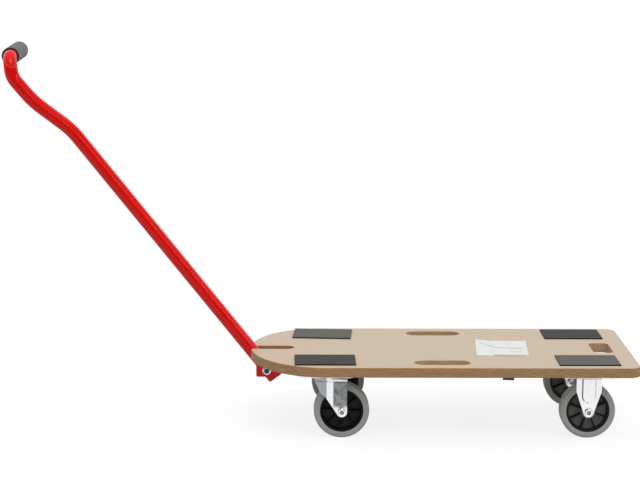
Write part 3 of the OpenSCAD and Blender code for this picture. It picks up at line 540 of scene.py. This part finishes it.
# %% [markdown]
# ## Red powder coat
# The handle and its hinge bracket are powder coated: a thick, glossy red skin that flows a little as it
# bakes, so that highlights wobble. A fine bump gives that wobble, a clear coat gives the gloss, and
# sharp edges are rubbed to a darker red.

# %% Powder coat finish
def powder_coat(name, deep, bright):
    """Glossy baked paint in two close tones under a clear coat, rubbed dark along sharp edges."""
    made, tree, shader = material(name, Specular_IOR_Level=0.06, Coat_Weight=0.3, Coat_Roughness=0.05)
    clouds = use(tree, blotches, Size=0.05, Contrast=0.8)["Mask"]
    colour = blend(tree, clouds, srgb(*deep), srgb(*bright))
    colour = blend(tree, use(tree, rubbed, Width=0.0008, Amount=0.6)["Mask"], colour, srgb(110, 6, 3))
    dress(tree, shader, colour, remap(tree, clouds, 0, 1, 0.24, 0.34),
          use(tree, grain, Size=0.006)["Height"], 0.03 * MM)
    return made


red = powder_coat("red powder coat", (211, 8, 2), (223, 11, 3))
# The bracket gets a lighter copy of the red: painted light against the shade under the board.
red_painted_lighter = powder_coat("red powder coat painted lighter", (236, 11, 4), (246, 14, 6))

# %% [markdown]
# ## The handle tube
# The tow handle is a single length of steel tube, bent three times in its own plane and once more,
# sideways, into the grip. Its centre line is a chain of straights and arcs, so each stretch is written
# exactly, and a circle is carried along it. Across the first bends one spoke of the circle stays along
# Y; in the sideways bend both spokes turn with the path, so the circle never twists.

# %% Centre line of the handle
TUBE_R, WALL = 12.5 * MM, 1.5 * MM
LEAN = math.radians(180 - 51.2)
GRIP_BEND, GRIP_STRAIGHT = 26 * MM, 144.5 * MM
pivot = np.array(next(j["pos_m"] for j in frame["joints"] if j["name"] == "handle_fold"))
# (length, None) is a straight and (radius, turn in degrees) an arc: the stub behind the pivot, the
# reach, the neck's two bends with a straight between them, a short straight, and the crook
STRETCHES = [(23 * MM, None), (550 * MM, None), (157 * MM, 14.5), (46 * MM, None), (177 * MM, -13.0),
             (26 * MM, None), (38 * MM, -31.0)]


def flat_path():
    """Chain of stretches in the handle's plane, as rows (u, n, heading). A straight adds its length
    along the heading; an arc of radius R and turn t adds R (sin(h+t) - sin h, cos h - cos(h+t))."""
    spot, heading = np.array([-STRETCHES[0][0], 0.0]), 0.0
    rows = [np.array([[*spot, heading]])]
    for size, turn in STRETCHES:
        cos, sin = math.cos(heading), math.sin(heading)
        if turn is None:
            stretch = np.array([[*(spot + size * np.array([cos, sin])), heading]])
        else:
            h = heading + np.radians(turn) * np.linspace(0, 1, 14)[1:]
            step = np.stack([np.sin(h) - sin, cos - np.cos(h)], -1)
            stretch = np.hstack([spot + np.sign(turn) * size * step, h[:, None]])
        rows.append(stretch)
        spot, heading = stretch[-1, :2], stretch[-1, 2]
    return np.vstack(rows)


u_axis = np.array([math.cos(LEAN), 0, math.sin(LEAN)])
n_axis = np.array([-math.sin(LEAN), 0, math.cos(LEAN)])
y_axis = np.array([0.0, 1.0, 0.0])
plane = flat_path()
tangents = np.cos(plane[:, 2:]) * u_axis + np.sin(plane[:, 2:]) * n_axis
line = pivot + plane[:, :1] * u_axis + plane[:, 1:2] * n_axis
spokes = np.broadcast_to(y_axis, tangents.shape)
last_tangent = tangents[-1]
t = np.radians(np.linspace(0, 90, 19))[1:, None]
bend = line[-1] + GRIP_BEND * (np.sin(t) * last_tangent + (1 - np.cos(t)) * y_axis)
line = np.vstack([line, bend, bend[-1:] + GRIP_STRAIGHT * y_axis])
tangents = np.vstack([tangents, np.cos(t) * last_tangent + np.sin(t) * y_axis, y_axis])
spokes = np.vstack([spokes, -np.sin(t) * last_tangent + np.cos(t) * y_axis, -last_tangent])
grip_start = bend[-1]
print("tube path:", len(line), "rows; grip starts at", (grip_start / MM).round(1))


# %% The tube as a swept circle
def swept(line, tangents, spokes, radii, around=64):
    """Circle carried along a path: point = path + r (cos a * spoke + sin a * (tangent x spoke))."""
    a = full_turn(around)[None, :, None]
    second = np.cross(tangents, spokes)[:, None]
    return line[:, None] + radii[:, None, None] * (np.cos(a) * spokes[:, None] + np.sin(a) * second)


# the open lower end: the bore, the cut face, and a small bevel before the outer skin
BORE_DEPTH, CUT_BEVEL = 40 * MM, 0.4 * MM
mouth = line[0] + np.array([[BORE_DEPTH], [0.0], [0.0], [CUT_BEVEL]]) * tangents[0]
mouth_radii = [TUBE_R - WALL, TUBE_R - WALL, TUBE_R - CUT_BEVEL, TUBE_R]
with_mouth = lambda rows: np.vstack([np.repeat(rows[:1], 4, 0), rows[1:]])
tube_grid = swept(np.vstack([mouth, line[1:]]), with_mouth(tangents), with_mouth(spokes),
                  np.concatenate([mouth_radii, np.full(len(line) - 1, TUBE_R)]))
piece("bent_handle_tube", [skin(tube_grid)], "handle", red, ["handle_tube"])

# %% [markdown]
# ## The foam grip
# A sleeve of closed-cell foam is pushed over the tube. It is soft, so its surface is never quite true:
# it swells and dips by a few tenths of a millimetre, and its ends are rounded. The sleeve is a profile
# turned round the grip's axis with those gentle dips added to the radius.

# %% Foam finish
foam, tree, shader = material("foam", Sheen_Weight=0.15)
cells = add(tree, "ShaderNodeTexVoronoi", Vector=place_in(tree), Scale=900.0).outputs["Distance"]
tone = use(tree, blotches, Size=0.012, Contrast=0.9)["Mask"]
colour = blend(tree, remap(tree, cells, 0.1, 0.7), srgb(70, 70, 71), srgb(94, 94, 95))
colour = blend(tree, times(tree, tone, 0.4), colour, srgb(80, 80, 81))
end_on = remap(tree, sums(tree, "ABSOLUTE", split(tree, "Normal")["Y"]), 0.55, 0.9)
colour = blend(tree, end_on, colour, srgb(24, 24, 25))
dress(tree, shader, colour, remap(tree, tone, 0, 1, 0.9, 1.0), cells, 0.3 * MM, 0.8)

# %% The sleeve
GRIP_R, GRIP_LENGTH, BORE, ROUND, DIP = 16.5 * MM, 147 * MM, 12.7 * MM, 3 * MM, 0.25 * MM
edge = np.radians(np.linspace(0, 90, 7))
round_end = [(GRIP_R - ROUND + ROUND * math.sin(e), ROUND * (1 - math.cos(e))) for e in edge]
straight = [(GRIP_R, h) for h in np.linspace(ROUND, GRIP_LENGTH - ROUND, 40)[1:-1]]
outside = np.array(round_end + straight + [(r, GRIP_LENGTH - h) for r, h in round_end[::-1]])
grid = lathe(np.vstack([[BORE, 0], outside, [BORE, GRIP_LENGTH]]), 72)
a, h = np.arctan2(grid[..., 1], grid[..., 0]), grid[..., 2] / GRIP_LENGTH
dips = DIP * (np.sin(9 * h + 2 * a) * np.sin(17 * h) + 0.6 * np.sin(3 * a + 23 * h))
on_skin = (np.linalg.norm(grid[..., :2], axis=-1) > BORE + MM) * np.sin(np.pi * np.clip(h, 0, 1)) ** 0.3
grid[..., :2] *= 1 - (np.abs(dips) * on_skin)[..., None] / GRIP_R
grip = piece("foam_sleeve", [skin(place(grid, grip_start, "y"), ring=True)], "handle", foam,
             ["foam_grip"], 60)

# %% [markdown]
# ## Zinc plate, steel and plastics
# The casters and fasteners are bright zinc on pressed steel. Zinc is a metal, so its look comes almost
# wholly from what it reflects: the finish varies how sharp the reflection is, in soft patches and fine
# drawn lines, and paints grey reflections on faces that turn forwards or backwards and on the yokes'
# panels, and shade in the dishes of bolt heads. Plain steel is darker. The moulded plastics get a fine
# matt grain and dust; the wheel cores and the label also get painted shade on ribs, outer bands and
# folds, and the rear cores a copy painted lighter.

# %% Metal finishes
# from the board's middle to a wheel's, and from there to a leg's outer skin
WHEEL_PLANE, LEG_FACE = 120.5 * MM, 23.9 * MM


def dull_panel_painted_reflection(tree, colour, rough, dark, pale, start, foot, brow):
    """Lays a rougher panel over a leg's outer skin, behind start along X and above foot, painted grey as
    a reflection, with a painted dark line at its front edge, and paints a grey reflection on the bend in
    front of brow. Gives back the colour and the roughness."""
    spot = split(tree, "Object")
    size = lambda value: sums(tree, "ABSOLUTE", value)
    off = size(sums(tree, "SUBTRACT", size(spot["Y"]), WHEEL_PLANE))
    on_skin = remap(tree, off, LEG_FACE - 0.3 * MM, LEG_FACE)
    above = remap(tree, spot["Z"], foot, foot + 7 * MM)
    dull_and_painted_grey = times(tree, on_skin, times(tree, remap(tree, spot["X"], start, start + 0.6 * MM), above))
    # A grey reflection is painted on the bend in front of the brow.
    bent = times(tree, remap(tree, off, LEG_FACE - 12 * MM, LEG_FACE - 11 * MM),
                 remap(tree, spot["X"], brow, brow - 1.2 * MM))
    colour = blend(tree, bent, colour, srgb(166, 170, 174))
    # A dark line is painted along the panel's front edge.
    near_panel_edge = size(sums(tree, "SUBTRACT", spot["X"], start - 0.3 * MM))
    painted_edge_line = times(tree, remap(tree, near_panel_edge, 0.9 * MM, 0.3 * MM), on_skin)
    colour = blend(tree, times(tree, painted_edge_line, above), colour, srgb(92, 94, 96))
    # The panel's grey, in random blotches, is a painted reflection; its higher roughness is real.
    cloudy = use(tree, blotches, Size=0.009, Contrast=1.3)["Mask"]
    colour = blend(tree, dull_and_painted_grey, colour, blend(tree, cloudy, srgb(*dark), srgb(*pale)))
    return colour, choose(tree, dull_and_painted_grey, rough, 0.42)


def plated(name, panel=None, bends=True, sunk=(138, 140, 142)):
    """Bright zinc, with grey reflections painted on faces that turn forwards or backwards, away from the
    part's flat sides. A panel, as dull_panel_painted_reflection takes it, is rougher and painted greyer.
    Points marked dish, the sunk middles of bolt heads and the ends of threads, are painted darker as
    shade."""
    made, tree, shader = material(name, Metallic=1.0)
    patches = use(tree, blotches, Size=0.012, Contrast=0.8)["Mask"]
    colour = blend(tree, patches, srgb(249, 250, 251), srgb(255, 255, 255))
    rough = remap(tree, patches, 0, 1, 0.22, 0.32)
    # Faces that turn forwards or backwards get painted grey reflections.
    if bends:
        turn = split(tree, "Normal")["X"]
        painted_backward_grey = times(tree, remap(tree, turn, 0.25, 0.6), 0.7)
        painted_forward_grey = times(tree, remap(tree, turn, -0.25, -0.5), 0.9)
        colour = blend(tree, painted_backward_grey, colour, srgb(186, 188, 190))
        colour = blend(tree, painted_forward_grey, colour, srgb(96, 99, 102))
    if panel:
        colour, rough = dull_panel_painted_reflection(tree, colour, rough, *panel)
    # Points marked dish are painted darker as shade.
    colour = blend(tree, marked(tree, "dish"), colour, srgb(*sunk))
    dress(tree, shader, colour, rough, use(tree, grain, Size=0.005)["Height"], 0.01 * MM)
    return made


axle_x, _, axle_z = centre("front_left_axle_bolt")
zinc = plated("bright zinc")
flat_zinc = plated("flat zinc", bends=False)
# The pivot bolt's end, seen through the nut, is painted as dark teal shade.
hinge_zinc = plated("hinge zinc", bends=False, sunk=(34, 84, 86))
# Grey tones of the panel's painted reflection, then where the panel starts, its foot and the brow.
panel = ((112, 116, 117), (166, 170, 172), axle_x - 14.5 * MM, axle_z + 6 * MM, axle_x - 27 * MM)
yoke_zinc = plated("zinc with matt panels and painted reflections", panel)

steel, tree, shader = material("oiled steel", Metallic=1.0)
patches = use(tree, blotches, Size=0.008, Contrast=1.0)["Mask"]
dress(tree, shader, blend(tree, patches, srgb(150, 150, 150), srgb(172, 172, 170)),
      remap(tree, patches, 0, 1, 0.3, 0.5))


# %% Plastics, rubber and paper
def moulded(name, dark, pale, rough, grain_size, relief, dusty=0.3, rim=None, shine=0.5):
    """A moulded plastic or rubber: two close tones, a fine grain, and dust on what faces up. A rim tone
    is
    painted shade: it covers what the mesh marks as painted_shade, or as reaching past two thirds of the
    wheel's radius."""
    made, tree, shader = material(name, Specular_IOR_Level=shine)
    specks = use(tree, grain, Size=grain_size)
    clouds = use(tree, blotches, Size=0.015, Contrast=0.9)["Mask"]
    colour = blend(tree, clouds, srgb(*dark), srgb(*pale))
    dusted = srgb(*(int(0.6 * c + 80) for c in pale))
    colour = blend(tree, use(tree, dust, Amount=dusty)["Mask"], colour, dusted)
    # The rim tone is painted shade on ribs, folds and the cores' outer band.
    if rim:
        painted_shade = sums(tree, "MAXIMUM", remap(tree, marked(tree, "reach"), 0.67, 0.7), marked(tree, "painted_shade"))
        colour = blend(tree, painted_shade, colour, srgb(*rim))
    dress(tree, shader, colour, remap(tree, specks["Mask"], 0, 1, rough - 0.07, rough + 0.07),
          specks["Height"], relief)
    return made


# The near-black rim tones paint shade on the cores' ribs and outer band.
front_core_plastic = moulded("front wheel plastic", (28, 28, 28), (38, 38, 37), 0.45,
                             0.8 * MM, 0.05 * MM, 0.05, (7, 7, 7), 0.15)
# The rear cores are a lighter copy of the front cores' plastic: painted light.
rear_core_painted_lighter = moulded("rear wheel plastic painted lighter", (106, 106, 105), (120, 120, 118), 0.5,
                            0.8 * MM, 0.05 * MM, 0.1, (14, 14, 14), 0.2)
tyre_rubber = moulded("tyre rubber", (151, 151, 149), (167, 167, 164), 0.66, 1.4 * MM, 0.08 * MM, 0.2)
black = moulded("black nylon", (20, 20, 21), (34, 34, 35), 0.42, 0.9 * MM, 0.05 * MM, 0.1)
nylon = moulded("natural nylon", (206, 202, 190), (220, 216, 205), 0.4, MM, 0.04 * MM, 0.1)
teal = moulded("teal nylon", (20, 120, 128), (34, 140, 146), 0.38, MM, 0.04 * MM, 0.0)
# The paper's grey rim tone paints shade along the label's folds.
paper = moulded("label paper", (202, 203, 201), (216, 216, 213), 0.6, 0.9 * MM, 0.02 * MM, 0.0,
                (158, 160, 159))
print("materials:", [m.name for m in bpy.data.materials])

# %% [markdown]
# ## Wheels
# Each wheel is a black ribbed core with a thick grey rubber tyre moulded round it. Both are lathe work:
# a section turned round the axle, with a slightly crowned tread and a raised ring on each of the tyre's
# sides. The core's ribs are eight soft-edged bars between hub and rim on each face.

# %% Tyre and core sections
TYRE_R, HUB_REACH, RIM_REACH, RIBS = 50 * MM, 11.8 * MM, 35.4 * MM, 8


def mirrored(points):
    """An outline of (radius, height) points followed by its own mirror image below the middle."""
    points = np.array(points, float) * MM
    return np.vstack([points, (points * [1, -1])[::-1]])


shoulder = [(45 + 5 * math.sin(a), 10 + 5 * math.cos(a)) for a in np.radians(np.linspace(8, 88, 9))]
tyre_section = mirrored([(39.0, 14.2), (39.6, 14.8), (41.6, 14.9), (42.0, 15.0), (42.9, 15.0),
                         (43.3, 14.85), *shoulder, (49.97, 7), (50.0, 3)])
core_section = soften(mirrored([(6.05, 21.1), (11.6, 21.1), (12.5, 20.2), (12.9, 2.5), (34.6, 2.5),
                                (35.0, 13.4), (35.6, 14.0), (38.4, 14.0), (39.0, 13.4)]), 0.9 * MM)


def core_ribs(turn):
    """Bars with a tapered section carried outwards from hub to rim, on each face of the web."""
    section = soften(np.array([(-1.35, 2.0), (1.35, 2.0), (1.0, 11.5), (-1.0, 11.5)]) * MM, 0.5 * MM)
    bars = []
    for face in (-1, 1):
        for a in np.radians(turn + 360 / RIBS * np.arange(RIBS)):
            out, side = np.array([math.cos(a), math.sin(a), 0]), np.array([-math.sin(a), math.cos(a), 0])
            ring = section[:, :1] * side + face * section[:, 1:] * np.array([0, 0, 1.0])
            bars.append(skin(np.stack([HUB_REACH * out + ring, RIM_REACH * out + ring])))
    return bars


def wheel(prefix, turn):
    """Tyre, core and ribs of one wheel, placed from the CAD tyre's box. The core is marked with how far
    out each point lies, which paints shade on its outer band, and the ribs as painted_shade."""
    at, body = centre(prefix + "_tyre"), prefix + "_wheel"
    piece(prefix + "_rubber_tyre", [skin(place(lathe(tyre_section, 128), at, "y"), ring=True)], body,
          tyre_rubber, [prefix + "_tyre"], 50)
    disc = skin(place(lathe(core_section), at, "y"), ring=True)
    bars = [(place(points, at, "y"), *faces) for points, *faces in core_ribs(turn)]
    plastic = front_core_plastic if prefix.startswith("front") else rear_core_painted_lighter
    core = piece(prefix + "_ribbed_core", [disc, *bars], body, plastic, [prefix + "_wheel_core"])
    away = points_of(core) - at
    mark(core, "reach", np.hypot(away[:, 0], away[:, 2]) / TYRE_R)
    # The ribs are marked for painted shade.
    mark(core, "painted_shade", np.arange(len(away)) >= len(core_section) * LATHE_STEPS)


for end, turn in (("front", 3), ("rear", 20)):
    for side in ("left", "right"):
        wheel(f"{end}_{side}", turn)

# %% [markdown]
# ## Nuts, bolts and threads
# A hexagon with chamfered corners is the smaller of two radii: the hexagon's own at each angle, and a
# cone's at each height. A thread is a cylinder whose radius rises and falls with a wave that climbs one
# pitch for every turn. Both are functions of angle and height, which a grid holds.

# %% Hexagons and threads
NUT, HEAD, ACROSS, CHAMFER_SLOPE = 7.6 * MM, 5.28 * MM, 13 * MM, 0.58
BOLT, PITCH, THREAD, TIP_BEVEL = 8 * MM, 1.25 * MM, 8 * MM, 0.8 * MM


def hexagon(height, dish=False):
    """Radius = min(hexagon, cone). Hexagon: half the width across flats / cos of the angle from the
    nearest flat. Cone: starts just inside the flats at each face and widens with depth. A dish is three
    more rings that step in and down from the far face."""
    a = full_turn(96)
    z = height * np.array([0, 0, 0.04, 0.09, 0.16, 0.84, 0.91, 0.96, 1])
    flat = ACROSS / 2 / np.cos((a + np.pi / 6) % (np.pi / 3) - np.pi / 6)
    cone = (ACROSS / 2 * 0.96 + np.minimum(z, height - z) / CHAMFER_SLOPE)[:, None]
    r = np.minimum(flat[None], cone)
    r[0] *= 0.5
    inner = np.array([(0.62, 0.0), (0.52, 1.1), (0.2, 1.3)] if dish else [(0.5, 0.0)])
    r = np.vstack([r, inner[:, :1] * ACROSS / 2 + 0 * a])
    return turned(r, a, np.concatenate([z, height - inner[:, 1] * MM])[:, None])


def thread():
    """Radius = r - depth * triangle(height / pitch - angle / full turn), tapered off at the far end."""
    a = full_turn(32)
    z = np.linspace(0, THREAD, int(8 * THREAD / PITCH) + 1)[:, None]
    wave = np.abs(((z / PITCH - a / (2 * np.pi)) % 1) * 2 - 1)
    chamfer = np.clip((z - THREAD + TIP_BEVEL) / TIP_BEVEL, 0, 1) * TIP_BEVEL
    return turned(BOLT / 2 - np.maximum(0.55 * PITCH * wave, chamfer), a, z)


def on_axis(grid, node, axis, start):
    """Places a shape on the axis of a CAD part's box, with its base at a given Y."""
    at = centre(node)
    return place(grid, (at[0], start, at[2]), axis)


# %% Bolts and locking nuts
def lock_nut(node, body, inner_face, axis, ring_material):
    """A hexagon with a turned collar that holds the nylon ring, round the end of the bolt's thread."""
    seat = lambda grid: on_axis(grid, node, axis, inner_face)
    collar = [(4.1, 5.2), (6.1, 5.2), (5.9, 7.0), (5.3, 7.6), (4.9, 7.6), (4.9, 7.3), (4.1, 7.2)]
    ring = [(3.9, 6.6), (4.9, 6.6), (4.9, 7.35), (3.9, 7.35)]
    collar_grid = lathe(soften(np.array(collar) * MM, 0.2 * MM), 64)
    piece(node + "_hexagon", [skin(seat(hexagon(0.72 * NUT))), skin(seat(collar_grid), ring=True)], body,
          zinc, [node])
    piece(node + "_ring", [skin(seat(lathe(np.array(ring) * MM, 64)), ring=True)], body, ring_material,
          ())


def screw(node, body, finish, head, neck, shank, base, root, axes):
    """A bolt from places along Y: its head's outer face and neck, its shank's two ends from a base, and
    its thread's root. Marked dish are the head's sunk middle, near the axis and close to the outer face,
    and the thread past its root."""
    grids = [on_axis(hexagon(HEAD, dish=True), node, axes[0], neck),
             on_axis(lathe(np.array([(BOLT / 2, h) for h in shank]), 48), node, "y", base),
             on_axis(thread(), node, axes[1], root)]
    made = piece(node.replace("bolt", "screw"), [skin(g) for g in grids], body, finish, [node])
    x, y, z = (points_of(made) - centre(node) * [1, 0, 1]).T
    past = (y - root) * (1 if axes[1] == "y" else -1) > 0.1 * MM
    # These dish points get painted shade from the zinc finish.
    mark(made, "dish", (np.hypot(x, z) < 0.56 * ACROSS / 2) & (np.abs(y - head) < 2 * MM) | past)


for end, body in (("front", "front_{}_swivel"), ("rear", "deck_body")):
    for side in ("left", "right"):
        axle = f"{end}_{side}_axle_"
        low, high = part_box(axle + "nut")
        lock_nut(axle + "nut", body.format(side), low.y, "y", nylon)
        low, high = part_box(axle + "bolt")
        neck = low.y + HEAD
        screw(axle + "bolt", body.format(side), zinc, low.y, neck,
              (-MM, high.y - neck - THREAD), neck, high.y - THREAD, ("-y", "y"))

# %% Pivot bolt and nut
low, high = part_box("pivot_bolt")
lock_nut("pivot_nut", "deck_body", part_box("pivot_nut")[1].y, "-y", teal)
screw("pivot_bolt", "deck_body", hinge_zinc, high.y, high.y - HEAD,
      (7 * MM, high.y - low.y - 5 * MM), low.y, low.y + THREAD, ("y", "-y"))

# %% [markdown]
# ## Pressed parts
# The yokes, forks, plates, bracket and clip are already right in the CAD model, down to the holes. What
# they lack is the soft edge that a press or a mould leaves. A copy of each part is merged from loose
# triangles into whole faces, its creases are rounded by a small bevel, and the copy stands for the part.

# %% Soft-edged copies
CREASE, MERGE, SEAM_ANGLE = 32, 2e-6, math.radians(0.6)


def soft_copy(node, name, body, material, bevel=0.35 * MM):
    """Merges a CAD part's doubled points, dissolves flat seams, and bevels edges sharper than CREASE."""
    made = bmesh.new()
    made.from_mesh(frame["nodes"][node].data)
    bmesh.ops.remove_doubles(made, verts=made.verts, dist=MERGE)
    bmesh.ops.dissolve_limit(made, angle_limit=SEAM_ANGLE, verts=made.verts, edges=made.edges)
    obj = from_edit(made, name)
    rounding = obj.modifiers.new("soft edge", "BEVEL")
    rounding.width, rounding.segments, rounding.limit_method = bevel, 2, "ANGLE"
    rounding.angle_limit = math.radians(CREASE)
    finish_mesh(obj, body, material, [node], CREASE)


for side in ("left", "right"):
    body = f"front_{side}_swivel"
    soft_copy(f"front_{side}_yoke", f"front_{side}_pressed_yoke", body, yoke_zinc)
    soft_copy(f"rear_{side}_fork", f"rear_{side}_pressed_fork", "deck_body", zinc)
    for caster in (f"front_{side}_", f"rear_{side}_"):
        soft_copy(caster + "top_plate", caster + "caster_plate", "deck_body", flat_zinc)
# The bracket takes the red that is painted lighter.
soft_copy("handle_bracket", "pressed_hinge_bracket", "deck_body", red_painted_lighter, 0.5 * MM)
soft_copy("handle_clip", "moulded_stow_clip", "deck_body", black, 0.4 * MM)

# %% [markdown]
# ## The label
# A plain paper label is stuck to the board ahead of the rear pads. It carries nothing. Paper never lies
# quite flat, so the sheet is a thin grid with a shallow ripple, two folds and a corner that curls up,
# and a second, smaller sheet lies on it a little askew.

# %% Blank label
FOLD = np.array([(-37, 48), (-9, -2), (38, -6)]) * MM
LOWER_FOLD = np.array([(12, -34), (36, -38)]) * MM
FOLD_HALF, FOLD_RISE, RIPPLE, PAPER = 6 * MM, 0.6 * MM, 0.35 * MM, 0.12 * MM
label_at = (deck_high.x - 235 * MM, -5.5 * MM, deck_high.z)


def fold_height(x, y):
    """1 on a fold's line, falling to 0 at FOLD_HALF from it, and only between the fold's two ends."""
    total = 0 * x
    for line, share in ((FOLD, 1.0), (LOWER_FOLD, 0.6)):
        on_line = (x > line[0, 0]) & (x < line[-1, 0])
        away = np.abs(y - np.interp(x, line[:, 0], line[:, 1]))
        total = np.maximum(total, share * on_line * np.clip(1 - away / FOLD_HALF, 0, 1))
    return total


def sheet_skin(length, width, lift, turn, offset=(0.0, 0.0), curl=0.0):
    """Closed thin sheet, and back underneath. Height = lift + a shallow wave + the folds + a corner's
    curl, which grows with the distance past a line across that corner."""
    x, y = np.meshgrid(np.linspace(-0.5, 0.5, 72), np.linspace(-0.5, 0.5, 60))
    c, s = math.cos(math.radians(turn)), math.sin(math.radians(turn))
    spot_x = x * length * c - y * width * s + offset[0]
    spot_y = x * length * s + y * width * c + offset[1]
    wave = (1 + np.sin(4 * x + 1) * np.sin(3 * y + 2)) * (0.25 + x ** 2 + y ** 2)
    height = lift + RIPPLE * wave + FOLD_RISE * fold_height(spot_x, spot_y)
    height += curl * np.clip((y - x - 0.74) / 0.26, 0, 1)
    top = np.stack([spot_x, spot_y, height + PAPER], -1)
    under = np.stack([spot_x, spot_y, height], -1)[:, ::-1]
    return skin(place(np.concatenate([top, under], axis=1), label_at))


label = piece("blank_label", [sheet_skin(95 * MM, 135 * MM, 0.05 * MM, -3.8, curl=1.8 * MM),
                              sheet_skin(60 * MM, 120 * MM, 0.9 * MM, -1.5, (12 * MM, -4 * MM))],
              "deck_body", paper)
away = points_of(label) - label_at
# The folds are painted darker as shade.
mark(label, "painted_shade", fold_height(away[:, 0], away[:, 1]))

# %% [markdown]
# ## Parts that stay as the CAD model has them
# Everything left is small or mostly hidden: screws, washers, balls, pins and sleeves. Their shapes are
# right, so each simply gets its finish, chosen by the part's name.

# %% Finishes for the remaining parts
PLAIN = {"friction_washers": nylon, "grip_end_plug": black, "swivel_balls": steel, "kingpin": steel,
         "axle_sleeve": steel, "pivot_sleeve": steel, "caster_inserts": steel}
for name, obj in frame["nodes"].items():
    if obj.hide_render:
        continue
    kind = name.split("_", 2)[-1] if name.startswith(("front_", "rear_")) else name
    finish = PLAIN.get(kind, zinc)
    obj.data.materials.clear()
    obj.data.materials.append(finish)
    print(name, "keeps its shape and gets", finish.name)

# %% [markdown]
# ## Floor and light
# The cart stands on a white floor that runs far past the camera's view. A broad, soft sun from the upper
# right gives the shadows a direction, and the sky gives the rest: bright overhead, darker behind the
# camera. Plated steel needs something to show, so what surfaces mirror is a plain studio: a white room
# with a soft band of light above eye level, fading to dark behind the camera. The camera itself sees
# plain white.

# %% Floor
def rays(tree):
    """Masks for what is seen straight or through glass, and for what glossy surfaces mirror."""
    path = add(tree, "ShaderNodeLightPath").outputs
    seen = sums(tree, "MAXIMUM", path["Is Camera Ray"], path["Is Transmission Ray"])
    return seen, path["Is Glossy Ray"]


FLOOR_REACH, FLOOR_GREY, FLOOR_WHITE, WHITE_SHARE = 60.0, 0.5, 0.95, 0.84
DIM, DIM_FROM, DIM_TO = 0.15, -1.2, -2.2
corners = [(FLOOR_REACH * x, FLOOR_REACH * y, 0) for x, y in ((-1, -1), (1, -1), (1, 1), (-1, 1))]
floor_mesh = bpy.data.meshes.new("floor")
floor_mesh.from_pydata(corners, [], [(0, 1, 2, 3)])
floor = shown("floor", floor_mesh)
floor_paint, tree, shader = material("floor", Roughness=0.9, Specular_IOR_Level=0.2)
seen, glossy = rays(tree)
mirrored_floor = remap(tree, split(tree, "Object")["Y"], DIM_TO, DIM_FROM, DIM, 1.0)
glow = choose(tree, glossy, 1.0, mirrored_floor)
white = add(tree, "ShaderNodeEmission", Strength=glow).outputs[0]
tree.links.new(choose(tree, seen, FLOOR_GREY, FLOOR_WHITE), shader["Base Color"])
share = sums(tree, "MAXIMUM", times(tree, seen, WHITE_SHARE), glossy)
lit = tree.nodes["Principled BSDF"].outputs[0]
mixed = add(tree, "ShaderNodeMixShader", in0=share, in1=lit, in2=white)
tree.links.new(mixed.outputs[0], tree.nodes["Material Output"].inputs["Surface"])
floor_mesh.materials.append(floor_paint)

# %% Sky and sun
BAND_STRENGTH, SUN_STRENGTH, SUN_SPREAD, SUN_TILT = 2.5, 1.1, 35, (30, 13, 0)
world = scene.world = bpy.data.worlds.new("studio")
world.use_nodes = True
tree = world.node_tree
way = split(tree, "Generated")
overhead = remap(tree, way["Z"], -0.05, 0.75, 0.42, 1.12)
behind = remap(tree, way["Y"], -0.6, 0.5, 0.72, 1.08)
room = remap(tree, way["Y"], -0.2, 0.25, 0.12, 1.0)
ceiling = remap(tree, way["Z"], 0.62, 0.86, 0.0, 1.1)
band = times(tree, remap(tree, way["Z"], 0.3, 0.36), remap(tree, way["Z"], 0.52, 0.46))
bright = sums(tree, "MAXIMUM", ceiling, times(tree, band, BAND_STRENGTH))
mirrored_sky = sums(tree, "MAXIMUM", room, bright)
seen, glossy = rays(tree)
light = choose(tree, glossy, times(tree, overhead, behind), mirrored_sky)
sky = tree.nodes["Background"].inputs
sky["Color"].default_value = (1, 1, 1, 1)
tree.links.new(choose(tree, seen, light, 1.0), sky["Strength"])

sun = bpy.data.lights.new("soft sun", "SUN")
sun.energy, sun.angle = SUN_STRENGTH, math.radians(SUN_SPREAD)
shown("soft sun", sun).rotation_euler = [math.radians(a) for a in SUN_TILT]
scene.view_settings.view_transform = "Standard"
print("sun", SUN_STRENGTH, "and a white sky")
